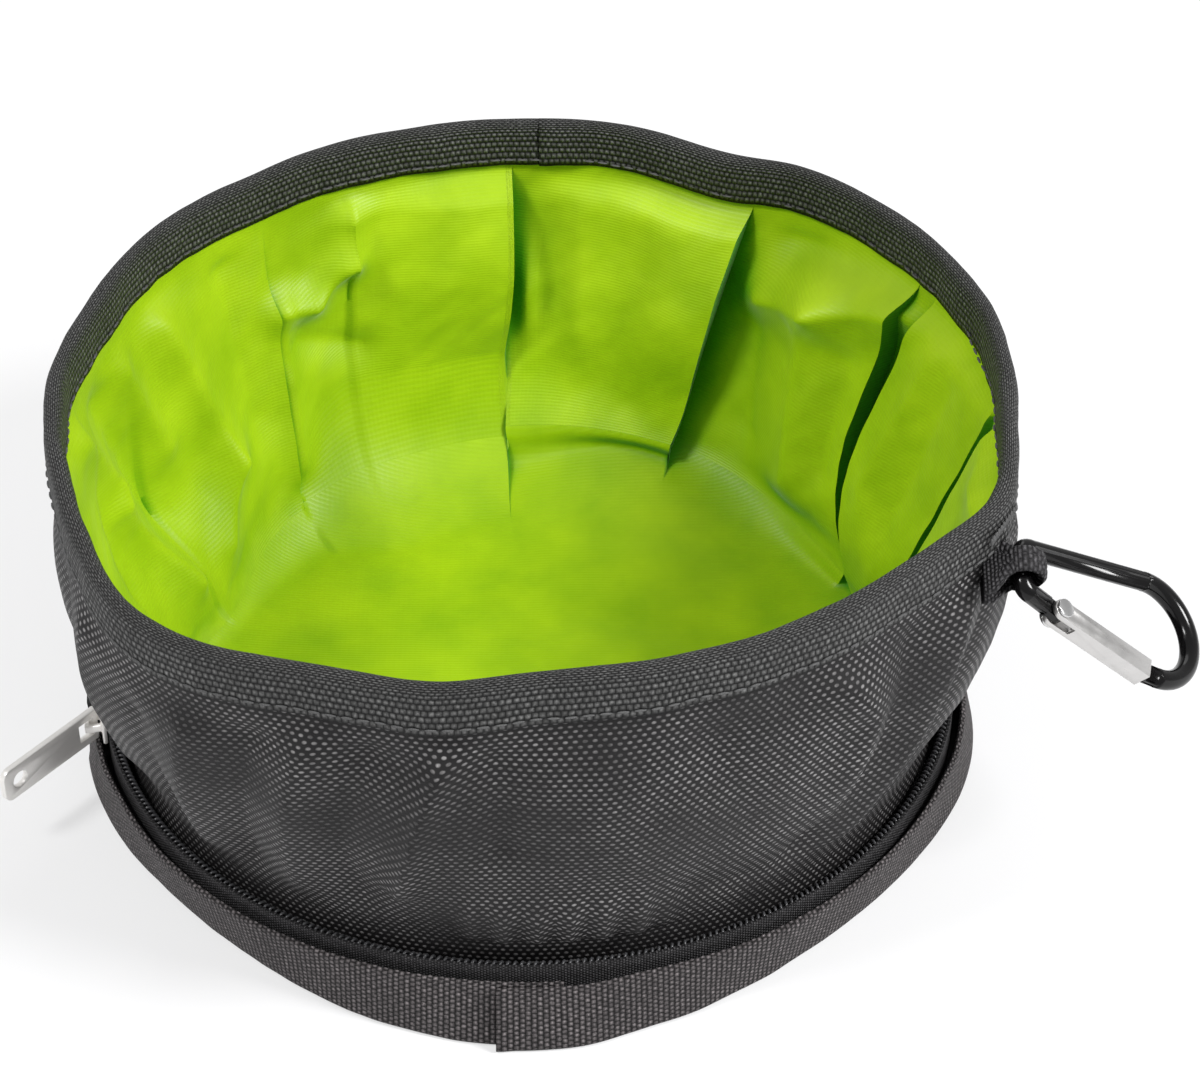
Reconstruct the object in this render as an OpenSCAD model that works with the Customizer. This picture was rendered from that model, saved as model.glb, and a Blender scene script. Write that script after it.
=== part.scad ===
// Collapsible pet bowl: a soft lined bowl with a board in its floor. Its back edge is
// sewn to a shallow round pouch, into which the folded bowl is zipped away.
// The origin is on the pouch's axis at the ground, +Z is up and the front is -Y.

/* [Bowl] */
// Height of the open bowl, from the ground to the top of the rim
bowl_h = 108; // [90:0.5:130]
// Outer radius of the rim binding
rim_r = 112; // [110:0.5:118]
// How far the rim's middle sits to the right of the pouch's middle
rim_shift_x = 1.5; // [0:0.1:3]
// How far the rim's middle sits behind the pouch's middle
rim_shift_y = 1.5; // [0:0.1:3]
// Thickness of the outer cloth
wall_t = 0.8; // [0.6:0.05:1.2]
// Thickness of the coated lining
lining_t = 0.5; // [0.4:0.05:0.8]
// How far the outer cloth turns in between the zip and its hem
hem_tuck = 4; // [3.8:0.1:6]
// How far the lining hangs inside the outer cloth
lining_slack = 4.25; // [3:0.25:6]
// Deepest inward fold of the lining
fold_depth = 8; // [3:0.5:9]
// How far the lining pulls flat between two folds
taut_depth = 2.5; // [0:0.25:4]
// Deepest soft dent of the outer cloth
dent_depth = 1.8; // [0:0.1:2.2]

/* [Bowl floor] */
// Thickness of the cloth under the bowl
bowl_base_t = 0.8; // [0.5:0.1:1.5]
// Thickness of the stiff board in the floor
board_t = 1.3; // [0.8:0.1:2]
// How far the board stops short of the hem cloth
board_margin = 3; // [2:0.5:8]
// Height of the edge of the lining's floor at the front
dish_front_h = 4.5; // [3:0.25:8]
// Height of that edge at the back, where the floor climbs the wall
dish_back_h = 22.5; // [10:0.5:24]
// How far that edge is drawn in at the left
dish_draw = 11; // [0:0.5:14]
// Gap between that edge and the hem, measured across
dish_margin = 1.5; // [1:0.25:6]

/* [Rim binding] */
// Thickness of the folded webbing
binding_t = 1.2; // [0.8:0.1:1.6]
// Height of the binding from its lower edge to the rim
binding_h = 12.5; // [10:0.5:16]
// Height of the stitch line above the binding's lower edge
stitch_rise = 2; // [1:0.25:4]
// Height of the thread line
stitch_h = 0.6; // [0.4:0.05:1]
// Thickness of the thread that shows
stitch_t = 0.4; // [0.3:0.05:0.6]
// How far the rim bulges out beside the zip pull
bulge_out = 6; // [0:0.5:8]
// How far the rim sags beside the zip pull
sag_drop = 8; // [0:0.5:9]
// How far the rim is pulled out at the carabiner loop
loop_pull_out = 5; // [0:0.5:6]

/* [Pouch] */
// Outer radius of the webbing band at the ground
foot_r = 107.5; // [106:0.25:110]
// How far the band leans in from the ground to its top edge
band_inset = 1.2; // [0:0.1:2]
// Thickness of the webbing band
band_t = 1.5; // [1:0.1:2]
// Height of the webbing band
band_h = 15; // [12:0.5:18]
// Height of the lapped end, under the path of the zip pull
lap_h = 13.7; // [8:0.1:13.7]
// Thickness of the cloth under the pouch
base_t = 0.9; // [0.6:0.1:1.5]
// Thickness of the smooth rear cloth
rear_t = 0.9; // [0.6:0.1:1.2]
// How far the rear cloth leans out from the ground to the seam
rear_outset = 2; // [0:0.25:4]
// How far the rear cloth sits inside the band's face at the ground
rear_tuck = 0.5; // [0.3:0.05:0.6]
// Thickness of the joining strip between the rear cloth and the bowl
gusset_t = 0.7; // [0.5:0.05:1.2]

/* [Zip] */
// Thickness of the zip tape
tape_t = 0.6; // [0.4:0.05:0.8]
// How far the zip tape stands above the band
tape_show = 4; // [3.5:0.1:6]
// How far the zip tape reaches down behind the band
tape_tuck = 8; // [4:0.5:10]
// Radius of the coil of zip teeth
coil_r = 1.1; // [0.9:0.05:1.3]
// Distance from the tape's edge to the middle of the coil
coil_edge = 1; // [0.9:0.05:1.5]
// Running gap between the slider and what it rides on
run_gap = 0.3; // [0.25:0.05:0.4]
// Thickness of the slider's plates
slider_plate_t = 1.1; // [0.9:0.05:1.3]
// Height of the slider's bridge over the coil
slider_bridge_h = 2.6; // [1.5:0.1:3]
// Length of the slider along the coil
slider_len = 9.5; // [7:0.5:12]
// Radius of the coil on the bowl's hem
hem_coil_r = 0.9; // [0.7:0.05:1]
// Thickness of the hem's zip tape
hem_tape_t = 0.6; // [0.4:0.05:0.8]
// Width of the hem's zip tape that shows
hem_tape_w = 0.6; // [0.4:0.05:0.7]
// Height of the hem's zip above the bowl's underside
hem_zip_rise = 2.1; // [1.2:0.1:4]

/* [Zip pull] */
// Length of the pull from its hinge bar to its tip
pull_len = 31; // [22:0.5:40]
// Width of the pull, which stands on edge
pull_w = 9.2; // [8:0.1:9.2]
// Thickness of the pull
pull_t = 1.6; // [1:0.1:1.8]
// Radius of the pull's hinge bar
pull_bar_r = 0.9; // [0.7:0.05:0.9]
// Radius of the hole near the pull's tip
pull_hole_r = 2.2; // [1.5:0.1:3]
// Distance of that hole from the tip
pull_hole_in = 5; // [4.5:0.1:8]
// Length of the slot that the slider's staple passes through
pull_slot_len = 4.6; // [4.2:0.1:6]
// Height of that slot
pull_slot_h = 5; // [3:0.1:6]
// Height of the slider's staple
staple_h = 2; // [1:0.1:2.4]
// Thickness of the staple
staple_t = 1.2; // [0.8:0.05:1.2]
// Half the clear width inside the staple
staple_half = 1.6; // [1.3:0.05:1.8]

/* [Carabiner loop] */
// Width of the loop's webbing
loop_w = 15; // [12:0.5:18]
// Thickness of the loop's webbing
loop_t = 1.4; // [1:0.1:1.8]
// Width of the loop where it is gathered in the carabiner
loop_neck_w = 5.2; // [4:0.1:5.4]
// Distance of the carabiner's narrow bar from the binding
loop_stand = 5.2; // [5:0.1:7]
// Depth of that bar below the rim
loop_drop = 15.5; // [14.5:0.1:18]
// Thickness of the bar of stitches over the loop
bartack_t = 0.5; // [0.3:0.05:0.8]
// Height of the bar of stitches
bartack_h = 2; // [1:0.25:3]

/* [Carabiner] */
// Radius of the carabiner's round bar
hook_bar_r = 2.3; // [2:0.05:2.3]
// Length of the straight bar at the narrow end
hook_narrow_w = 5.4; // [5:0.1:8]
// Bend radius of the narrow end's corners
hook_corner_r = 3; // [2.8:0.1:4]
// Bend radius of the wide end
hook_wide_r = 12.2; // [11:0.1:14]
// Distance between the middles of the narrow bar and the wide bend
hook_len = 40.5; // [36:0.5:50]
// How far the wide bend's middle lies towards the gate
hook_wide_side = 2.2; // [0:0.1:4]
// Length of the straight run behind the nose
nose_len = 4; // [3:0.25:6]
// Distance of the gate's rivet from the narrow bar
rivet_along = 10; // [9:0.25:14]
// Distance of the gate's rivet to the side of the carabiner's middle
rivet_side = 8; // [7:0.25:9]
// Width and depth of the gate's channel
gate_w = 4.8; // [4.2:0.1:5.4]
// Wall of the gate's channel
gate_wall = 0.9; // [0.6:0.05:1]
// Thickness of the body's blade inside the gate
blade_t = 1.8; // [1:0.1:1.8]
// Radius of the rivet
rivet_r = 1.25; // [0.8:0.05:1.4]
// Radius of the rivet's heads
rivet_head_r = 2.2; // [1.8:0.05:2.4]
// Thickness of the rivet's heads
rivet_head_t = 0.8; // [0.5:0.05:1.2]
// Radius of the gate's spring
gate_spring_r = 0.9; // [0.6:0.05:1]
// Length of the gate's spring
gate_spring_len = 8; // [5:0.5:12]

/* [Hidden] */

// Gap between soft pieces that move apart, and between layers sewn together
soft_gap = 0.3;
seam_gap = 0.2;
touch_gap = 0.05;
// Overrun of every cut, and overlap of the pieces of one solid
cut_over = 1;
weld = 0.3;
// Clearance of the rivet in its holes and of the blade in its slot
pin_gap = 0.05;
blade_gap = 0.25;

// Colours
lime = [0.53, 0.80, 0.12];
charcoal = [0.23, 0.24, 0.26];
black_cloth = [0.08, 0.08, 0.09];
grey_cloth = [0.33, 0.34, 0.37];
tape_grey = [0.45, 0.46, 0.49];
silver = [0.80, 0.80, 0.78];

// Angles in degrees, counted from +X towards +Y
band_left_from = 188;
band_split = 275;
band_right_to = 363;
lap_from = 267;
lap_to = 277;
rear_from = 3.2;
rear_to = 187.8;
gusset_from = 5;
gusset_to = 186;
end_box_from = 186;
end_box_to = 187;
coil_from = 187.2;
coil_to = 360.9;
top_stop_to = 362.3;
hem_zip_from = 197;
hem_zip_to = 353;
slider_az = 192;
pull_swing = 40;
loop_az = -27.5;
loop_roll = 22;
hook_droop = 37.5;

// Heights and radii of the pouch
band_top_r = foot_r - band_inset;
tape_out_r = band_top_r - band_t - seam_gap;
tape_in_r = tape_out_r - tape_t;
tape_top_z = band_h + tape_show;
coil_flat = 0.2;
coil_mid_r = tape_in_r - coil_r + coil_flat;
coil_z = tape_top_z - coil_edge;
rear_out_r = foot_r - rear_tuck;
seam_z = tape_top_z - gusset_t;
gusset_out_r = rear_out_r + rear_outset;

// The slider rides over the coil and the tape's edge
slider_in_r = coil_mid_r - coil_r - run_gap - slider_plate_t;
slider_tape_r = tape_out_r + run_gap;
slider_out_r = slider_tape_r + slider_plate_t;
slider_low_z = band_h + run_gap;
slider_web_z = max(tape_top_z, coil_z + coil_r) + run_gap;
slider_top_z = slider_web_z + slider_bridge_h;
slider_half = slider_len / coil_mid_r * 90 / PI;
pull_axis_gap = 0.7;
pull_axis_r = slider_out_r + pull_axis_gap + pull_bar_r;
staple_gap = 0.3;
staple_in_r = pull_axis_r + pull_bar_r + staple_gap;
pull_z = (slider_low_z + slider_top_z) / 2;

// Heights and radii of the bowl's cloth
neck_r = slider_in_r - soft_gap;
neck_z = slider_top_z + soft_gap;
hem_r = neck_r - hem_tuck;
bowl_z = base_t + soft_gap;
base_r = hem_r - wall_t - seam_gap;
board_z = bowl_z + bowl_base_t + touch_gap;
floor_z = board_z + board_t + touch_gap;
dish_r = base_r - dish_margin;
wall_top_r = rim_r - binding_t - soft_gap;
lining_top_r = wall_top_r - wall_t - soft_gap;
binding_in_r = lining_top_r - lining_t - soft_gap - binding_t;
wall_top_z = bowl_h - binding_t - soft_gap;
binding_low_z = bowl_h - binding_h;
under_gap = 2.5;
under_z = binding_low_z - under_gap;
// Widest that the binding reaches near the loop, and the carabiner's bar beyond it
loop_rim_r = rim_r + loop_pull_out;
loop_reach = loop_rim_r + loop_stand;

// The cloth is made of columns round the bowl and rows up it
columns = 72;
// Rows of the outer cloth between the neck and the binding: height, width, how much each
// follows the rim's own shape, and how deep its dents are
wall_rise_shares = [0.21, 0.49, 0.77];
wall_reach_shares = [0.46, 1, 1.2];
wall_follow_shares = [0, 0, 0, 0.15, 0.4, 0.7, 1, 1];
wall_dent_shares = [0, 0, 0, 0.6, 1, 0.8, 0, 0];
hem_row_share = 0.6;
// Rows of the lining's wall from its foot to the binding: height, how far it hangs in, how
// much it follows the rim's own shape, and how deep its folds are
lining_rise_shares = [0, 0.12, 0.32, 0.56, 0.8];
lining_slack_shares = [1, 0.92, 1, 0.78];
lining_follow_shares = [0, 0.05, 0.3, 0.55, 0.8, 1, 1];
lining_fold_shares = [0.7, 0.85, 1, 1, 0.7, 0, 0];
lining_taut_shares = [0.4, 0.8, 1, 1, 0.6, 0, 0];
// Creases of the lining in the order of their angles: angle at the rim, angle at the foot,
// and the shares of the full depth on the side of smaller and of larger angles
lining_crease_list = [
    [-4, 12, 0.55, 0],
    [26, 34, 0.7, 0],
    [58, 67, 0, 1],
    [94, 95, 0.1, 0.75],
    [117, 119, 0.3, 0],
    [130, 132, 0, 0.4],
    [163, 160, 0.25, 0],
    [178, 176, 0, 0.2],
    [205, 203, 0.2, 0.2],
    [240, 238, 0.1, 0.3],
    [275, 276, 0.2, 0.1],
    [310, 312, 0.1, 0.3],
    [335, 338, 0.35, 0.12]
];
crease_half_turn = 1.4;
panel_columns = 5;
// Soft dents of the outer cloth: angle, share of the full depth and spread
wall_dent_list = [
    [206, 1, 9],
    [232, 0.7, 8],
    [251, 0.8, 8],
    [278, 0.5, 12],
    [309, 0.7, 10],
    [345, 1, 9],
    [25, 0.6, 14],
    [80, 0.8, 16],
    [130, 0.6, 14],
    [168, 0.9, 10]
];
// Rings of the lining's floor, as shares of its radius, and how steeply its edge climbs
dish_reach_shares = [0.3, 0.6, 0.8, 0.91];
dish_climb = 3.2;

function bump(az, middle, spread) =
    let (d = (az - middle + 900) % 360 - 180) exp(-pow(d / spread, 2));
function sum(list, i = 0) = i < len(list) ? list[i] + sum(list, i + 1) : 0;

// The rim's own shape: how far it is pushed out and how far it sags at each angle
function rim_push(az) = bulge_out * bump(az, 225, 20) + loop_pull_out * bump(az, 334, 10);
function rim_sag(az) =
    sag_drop * (bump(az, 226, 22) + 0.35 * bump(az, 257, 10) + 0.35 * bump(az, 65, 10));
function dent_in(az) =
    dent_depth * min(1, sum([for (d = wall_dent_list) d[1] * bump(az, d[0], d[2])]));

// A point of the cloth at one angle, where follow says how much of the rim's shape it takes
function cloth_point(az, r, z, follow) = [
    rim_shift_x * follow + (r + rim_push(az) * follow) * cos(az),
    rim_shift_y * follow + (r + rim_push(az) * follow) * sin(az),
    z - rim_sag(az) * follow
];

// Closed ring through the same loop of points at each column
module swept_ring(sections) {
    n = len(sections);
    m = len(sections[0]);
    polyhedron(
        points = [for (s = sections) for (p = s) p],
        faces = [
            for (i = [0 : n - 1])
                for (k = [0 : m - 1])
                    let (
                        a = i * m + k,
                        b = i * m + (k + 1) % m,
                        c = ((i + 1) % n) * m + (k + 1) % m,
                        d = ((i + 1) % n) * m + k
                    )
                    for (face = [[a, b, c], [a, c, d]]) face
        ]
    );
}

// Part of a ring about the pouch's axis, from an outline given in radius and height
module sector(from, to) {
    rotate([0, 0, from])
        rotate_extrude(angle = to - from, $fn = 180)
            children();
}

module ring_block(r_in, r_out, z_low, z_high) {
    polygon([[r_in, z_low], [r_out, z_low], [r_out, z_high], [r_in, z_high]]);
}

// Pouch
module base_panel() {
    color(black_cloth)
        cylinder(r = foot_r - band_t - seam_gap, h = base_t, $fn = 180);
}

module band_outline(out, height) {
    lean = band_inset * height / band_h;
    polygon([
        [foot_r - band_t + out, 0], [foot_r + out, 0],
        [foot_r - lean + out, height], [foot_r - lean - band_t + out, height]
    ]);
}

module band_left() {
    color(charcoal)
        sector(band_left_from, band_split)
            band_outline(0, band_h);
}

// The right half's end laps over the left half, and a fold of webbing joins the two layers
module band_right() {
    lap_out = band_t + seam_gap;
    fold_mid = seam_gap + band_t / 2;
    fold_top = lap_h - seam_gap;
    fold_lean = band_inset * fold_top / band_h;
    butt = 0.3;
    color(charcoal) {
        sector(band_split + butt, band_right_to)
            band_outline(0, band_h);
        sector(lap_from, lap_to)
            band_outline(lap_out, lap_h);
        sector(band_split + 2 * butt, lap_to - butt)
            polygon([
                [foot_r - band_t / 2, seam_gap], [foot_r + fold_mid, seam_gap],
                [foot_r - fold_lean + fold_mid, fold_top],
                [foot_r - fold_lean - band_t / 2, fold_top]
            ]);
    }
}

module rear_panel() {
    rear_top_z = seam_z - touch_gap;
    color(black_cloth)
        sector(rear_from, rear_to)
            polygon([
                [rear_out_r - rear_t, 0], [rear_out_r, 0],
                [gusset_out_r, rear_top_z], [gusset_out_r - rear_t, rear_top_z]
            ]);
}

module hinge_gusset() {
    color(black_cloth)
        sector(gusset_from, gusset_to)
            ring_block(neck_r + soft_gap, gusset_out_r, seam_z, seam_z + gusset_t);
}

// Zip of the pouch
module tray_zip_tape() {
    color(tape_grey)
        sector(end_box_from, band_right_to)
            ring_block(tape_in_r, tape_out_r, band_h - tape_tuck, tape_top_z);
}

module tray_zip_coil() {
    flat_r = tape_in_r - touch_gap;
    color(black_cloth)
        sector(coil_from, coil_to)
            intersection() {
                translate([coil_mid_r, coil_z])
                    circle(r = coil_r, $fn = 24);
                ring_block(coil_mid_r - coil_r, flat_r, coil_z - coil_r, coil_z + coil_r);
            }
}

module zip_stop_block(from, to) {
    color(black_cloth)
        sector(from, to)
            ring_block(
                coil_mid_r - coil_r, tape_in_r - touch_gap,
                coil_z - coil_r - seam_gap, coil_z + coil_r
            );
}

module zip_end_box() {
    zip_stop_block(end_box_from, end_box_to);
}

module zip_top_stop() {
    stop_gap = 0.2;
    zip_stop_block(coil_to + stop_gap, top_stop_to);
}

module zip_slider() {
    bridge_r = staple_in_r + staple_t;
    staple_z = pull_z - staple_h / 2;
    staple_full = staple_half + staple_t;
    color(silver) {
        sector(slider_az - slider_half, slider_az + slider_half) {
            ring_block(slider_in_r, slider_in_r + slider_plate_t, slider_low_z, slider_top_z);
            ring_block(slider_tape_r, slider_out_r, slider_low_z, slider_top_z);
            ring_block(slider_in_r, slider_out_r, slider_web_z, slider_top_z);
        }
        rotate([0, 0, slider_az]) {
            for (side = [-1, 1])
                translate([
                    slider_out_r - weld,
                    side * (staple_half + staple_t / 2) - staple_t / 2,
                    staple_z
                ])
                    cube([bridge_r - slider_out_r + weld, staple_t, staple_h]);
            translate([staple_in_r, -staple_full, staple_z])
                cube([staple_t, 2 * staple_full, staple_h]);
        }
    }
}

// Places what follows at the pull's hinge bar, with +X along the pull
module at_pull() {
    rotate([0, 0, slider_az])
        translate([pull_axis_r, 0, pull_z])
            rotate([0, 0, pull_swing])
                children();
}

module zip_pull() {
    corner_r = pull_w / 2 - pull_hole_r;
    tip_x = pull_len - pull_bar_r;
    color(silver)
        at_pull()
            difference() {
                union() {
                    cylinder(r = pull_bar_r, h = pull_w, center = true, $fn = 32);
                    rotate([90, 0, 0])
                        linear_extrude(height = pull_t, center = true) {
                            translate([0, -pull_w / 2])
                                square([tip_x - corner_r, pull_w]);
                            translate([0, corner_r - pull_w / 2])
                                square([tip_x, pull_w - 2 * corner_r]);
                            for (side = [-1, 1])
                                translate([tip_x - corner_r, side * (pull_w / 2 - corner_r)])
                                    circle(r = corner_r, $fn = 32);
                        }
                }
                rotate([90, 0, 0])
                    linear_extrude(height = pull_t + cut_over, center = true) {
                        translate([pull_bar_r, -pull_slot_h / 2])
                            square([pull_slot_len, pull_slot_h]);
                        translate([tip_x - pull_hole_in, 0])
                            circle(r = pull_hole_r, $fn = 48);
                    }
            }
}

// Bowl
module bowl_base() {
    color(black_cloth)
        translate([0, 0, bowl_z])
            cylinder(r = base_r, h = bowl_base_t, $fn = 144);
}

module floor_board() {
    color(grey_cloth)
        translate([0, 0, board_z])
            cylinder(r = base_r - board_margin, h = board_t, $fn = 144);
}

wall_z_rows = concat(
    [bowl_z, bowl_z + hem_row_share * (neck_z - bowl_z), neck_z],
    [for (s = wall_rise_shares) neck_z + s * (under_z - neck_z)],
    [under_z, wall_top_z]
);
wall_r_rows = concat(
    [hem_r, neck_r, neck_r],
    [for (s = wall_reach_shares) neck_r + s * (wall_top_r - neck_r)],
    [wall_top_r, wall_top_r]
);

module outer_wall() {
    rows = len(wall_z_rows);
    color(grey_cloth)
        swept_ring([
            for (c = [0 : columns - 1])
                let (az = c * 360 / columns)
                concat(
                    [for (k = [0 : rows - 1]) cloth_point(
                        az, wall_r_rows[k] - dent_in(az) * wall_dent_shares[k],
                        wall_z_rows[k], wall_follow_shares[k]
                    )],
                    [for (k = [rows - 1 : -1 : 0]) cloth_point(
                        az, wall_r_rows[k] - wall_t - dent_in(az) * wall_dent_shares[k],
                        wall_z_rows[k], wall_follow_shares[k]
                    )]
                )
        ]);
}

function wall_r_at(z) =
    lookup(z, [for (k = [0 : len(wall_z_rows) - 1]) [wall_z_rows[k], wall_r_rows[k]]]);

// The lining's wall is made of panels between its creases, each with the same number of
// columns. A column is given as [crease before it, share of the way to the next crease]
creases = len(lining_crease_list);
lining_columns = [
    for (k = [0 : creases - 1])
        for (j = [0 : panel_columns])
            [k, j / panel_columns]
];
function crease_az(k, rise) =
    let (c = lining_crease_list[k % creases])
    c[1] + (c[0] - c[1]) * rise + (k < creases ? 0 : 360);
function column_az(c, rise) =
    let (
        from = crease_az(c[0], rise) + crease_half_turn,
        to = crease_az(c[0] + 1, rise) - crease_half_turn
    )
    from + (to - from) * c[1];
function column_fold(c) =
    let (
        from = lining_crease_list[c[0]][3],
        to = lining_crease_list[(c[0] + 1) % creases][2]
    )
    fold_depth * (from + (to - from) * c[1]);
function column_taut(c) = taut_depth * 4 * c[1] * (1 - c[1]);

// The lining's foot, where its wall and floor meet
function foot_r_at(az) = dish_r - dish_draw * bump(az, 165, 26);
function foot_rise_at(az) = dish_front_h + (dish_back_h - dish_front_h) * bump(az, 84, 31);
foot_z = floor_z + lining_t + touch_gap;

function lining_z(c, k) =
    let (low = foot_z + foot_rise_at(column_az(c, 0)))
    k < len(lining_rise_shares) ? low + lining_rise_shares[k] * (under_z - low)
        : k == len(lining_rise_shares) ? under_z : wall_top_z;
function lining_r(c, k) =
    let (az = column_az(c, 0), last = len(lining_rise_shares))
    (k == 0 ? foot_r_at(az)
        : k < last ? wall_r_at(lining_z(c, k)) - wall_t - soft_gap
            - lining_slack * lining_slack_shares[k - 1]
            - (dish_r - foot_r_at(az)) * pow(1 - lining_rise_shares[k], 3)
        : lining_top_r)
    - column_fold(c) * lining_fold_shares[k] - column_taut(c) * lining_taut_shares[k];
function lining_point(c, k, out) = cloth_point(
    column_az(c, k < len(lining_rise_shares) ? lining_rise_shares[k] : 1),
    lining_r(c, k) + out, lining_z(c, k), lining_follow_shares[k]
);

module lining_wall() {
    rows = len(lining_follow_shares);
    color(lime)
        swept_ring([
            for (c = lining_columns)
                concat(
                    [for (k = [0 : rows - 1]) lining_point(c, k, 0)],
                    [for (k = [rows - 1 : -1 : 0]) lining_point(c, k, -lining_t)]
                )
        ]);
}

// The floor's edge lies just under the wall's foot, and its rings close in on the middle
module lining_floor() {
    edge = [for (c = lining_columns) lining_point(c, 0, -lining_t / 2)];
    rings = concat([1], [for (i = [len(dish_reach_shares) - 1 : -1 : 0]) dish_reach_shares[i]]);
    n = len(edge);
    m = len(rings);
    function ring_z(p, share) = floor_z + (p[2] - foot_z) * pow(share, dish_climb);
    under = [
        for (s = rings)
            for (p = edge)
                [p[0] * s, p[1] * s, ring_z(p, s)]
    ];
    over = [for (p = under) p + [0, 0, lining_t]];
    middle = 2 * n * m;
    function near(i, k) = k * n + i;
    function next(i, k) = k * n + (i + 1) % n;
    color(lime)
        polyhedron(
            points = concat(under, over, [[0, 0, floor_z], [0, 0, floor_z + lining_t]]),
            faces = concat(
                [
                    for (k = [0 : m - 2])
                        for (i = [0 : n - 1])
                            for (face = [
                                [near(i, k), next(i, k), next(i, k + 1)],
                                [near(i, k), next(i, k + 1), near(i, k + 1)]
                            ]) face
                ],
                [
                    for (k = [0 : m - 2])
                        for (i = [0 : n - 1])
                            for (face = [
                                [near(i, k), next(i, k + 1), next(i, k)],
                                [near(i, k), near(i, k + 1), next(i, k + 1)]
                            ]) n * m * [1, 1, 1] + face
                ],
                [for (i = [0 : n - 1]) [near(i, m - 1), next(i, m - 1), middle]],
                [
                    for (i = [0 : n - 1])
                        [n * m + near(i, m - 1), middle + 1, n * m + next(i, m - 1)]
                ],
                [
                    for (i = [0 : n - 1])
                        for (face = [
                            [near(i, 0), n * m + near(i, 0), n * m + next(i, 0)],
                            [near(i, 0), n * m + next(i, 0), next(i, 0)]
                        ]) face
                ]
            )
        );
}

hem_zip_z = bowl_z + hem_zip_rise;
hem_tape_in_r = wall_r_at(hem_zip_z + hem_tape_t / 2) + soft_gap;

module hem_zip_tape() {
    color(tape_grey)
        sector(hem_zip_from, hem_zip_to)
            ring_block(
                hem_tape_in_r, hem_tape_in_r + hem_tape_w,
                hem_zip_z - hem_tape_t / 2, hem_zip_z + hem_tape_t / 2
            );
}

module hem_zip_coil() {
    color(black_cloth)
        sector(hem_zip_from, hem_zip_to)
            translate([hem_tape_in_r + hem_tape_w + touch_gap + hem_coil_r, hem_zip_z])
                circle(r = hem_coil_r, $fn = 24);
}

// Rim
module rim_binding() {
    corner = binding_t;
    outline = [
        [rim_r, binding_low_z],
        [rim_r, bowl_h - corner],
        [rim_r - corner, bowl_h],
        [binding_in_r + corner, bowl_h],
        [binding_in_r, bowl_h - corner],
        [binding_in_r, binding_low_z],
        [binding_in_r + binding_t, binding_low_z],
        [binding_in_r + binding_t, bowl_h - binding_t],
        [rim_r - binding_t, bowl_h - binding_t],
        [rim_r - binding_t, binding_low_z]
    ];
    color(charcoal)
        swept_ring([
            for (c = [0 : columns - 1])
                [for (p = outline) cloth_point(c * 360 / columns, p[0], p[1], 1)]
        ]);
}

module rim_stitching() {
    thread_z = binding_low_z + stitch_rise;
    thread_r = rim_r + touch_gap;
    outline = [
        [thread_r + stitch_t, thread_z],
        [thread_r + stitch_t, thread_z + stitch_h],
        [thread_r, thread_z + stitch_h],
        [thread_r, thread_z]
    ];
    color(silver)
        swept_ring([
            for (c = [0 : columns - 1])
                [for (p = outline) cloth_point(c * 360 / columns, p[0], p[1], 1)]
        ]);
}

// Places what follows at the carabiner's narrow bar: +X points away from the bowl and
// +Y lies along the bar
module at_loop() {
    translate([
        rim_shift_x + loop_reach * cos(loop_az),
        rim_shift_y + loop_reach * sin(loop_az),
        bowl_h - loop_drop
    ])
        rotate([loop_roll, 0, 0])
            children();
}

module carabiner_loop() {
    eye_r = hook_bar_r + soft_gap;
    fold_r = eye_r + loop_t;
    tail = loop_reach - rim_r;
    back = 2 * fold_r + tail;
    shoulder = fold_r;
    color(charcoal)
        difference() {
            at_loop()
                difference() {
                    intersection() {
                        union() {
                            rotate([90, 0, 0])
                                cylinder(r = fold_r, h = 2 * loop_w, center = true, $fn = 64);
                            rotate([90, 0, 0])
                                linear_extrude(height = 2 * loop_w, center = true)
                                    polygon([
                                        [0, -fold_r], [0, fold_r],
                                        [-tail, loop_t], [-back, loop_t],
                                        [-back, -loop_t], [-tail, -loop_t]
                                    ]);
                        }
                        linear_extrude(height = 4 * fold_r, center = true)
                            polygon([
                                [fold_r + cut_over, -loop_neck_w / 2],
                                [fold_r + cut_over, loop_neck_w / 2],
                                [-shoulder, loop_neck_w / 2],
                                [-tail, loop_w / 2],
                                [-back, loop_w / 2],
                                [-back, -loop_w / 2],
                                [-tail, -loop_w / 2],
                                [-shoulder, -loop_neck_w / 2]
                            ]);
                    }
                    rotate([90, 0, 0])
                        cylinder(r = eye_r, h = 2 * loop_w + cut_over, center = true, $fn = 64);
                    rotate([90, 0, 0])
                        linear_extrude(height = 2 * loop_w + cut_over, center = true)
                            polygon([[0, -eye_r], [0, eye_r], [-tail, 0]]);
                }
            translate([rim_shift_x, rim_shift_y, 0])
                cylinder(r = loop_rim_r + touch_gap, h = bowl_h, $fn = 180);
        }
}

module loop_bartack() {
    color(black_cloth)
        translate([rim_shift_x, rim_shift_y, 0])
            rotate([0, 0, loop_az])
                translate([
                    loop_rim_r + touch_gap, -loop_w / 2,
                    binding_low_z + binding_h / 2
                ])
                    cube([bartack_t, loop_w, bartack_h]);
}

// Carabiner, drawn flat: +X runs from its narrow bar to its wide end, +Y is the spine's side
module at_hook() {
    at_loop()
        rotate([0, hook_droop, 0])
            children();
}

narrow_half = hook_narrow_w / 2;
spine_corner = [hook_corner_r, narrow_half];
gate_corner = [hook_corner_r, -narrow_half];
wide_mid = [hook_len, -hook_wide_side];
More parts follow.
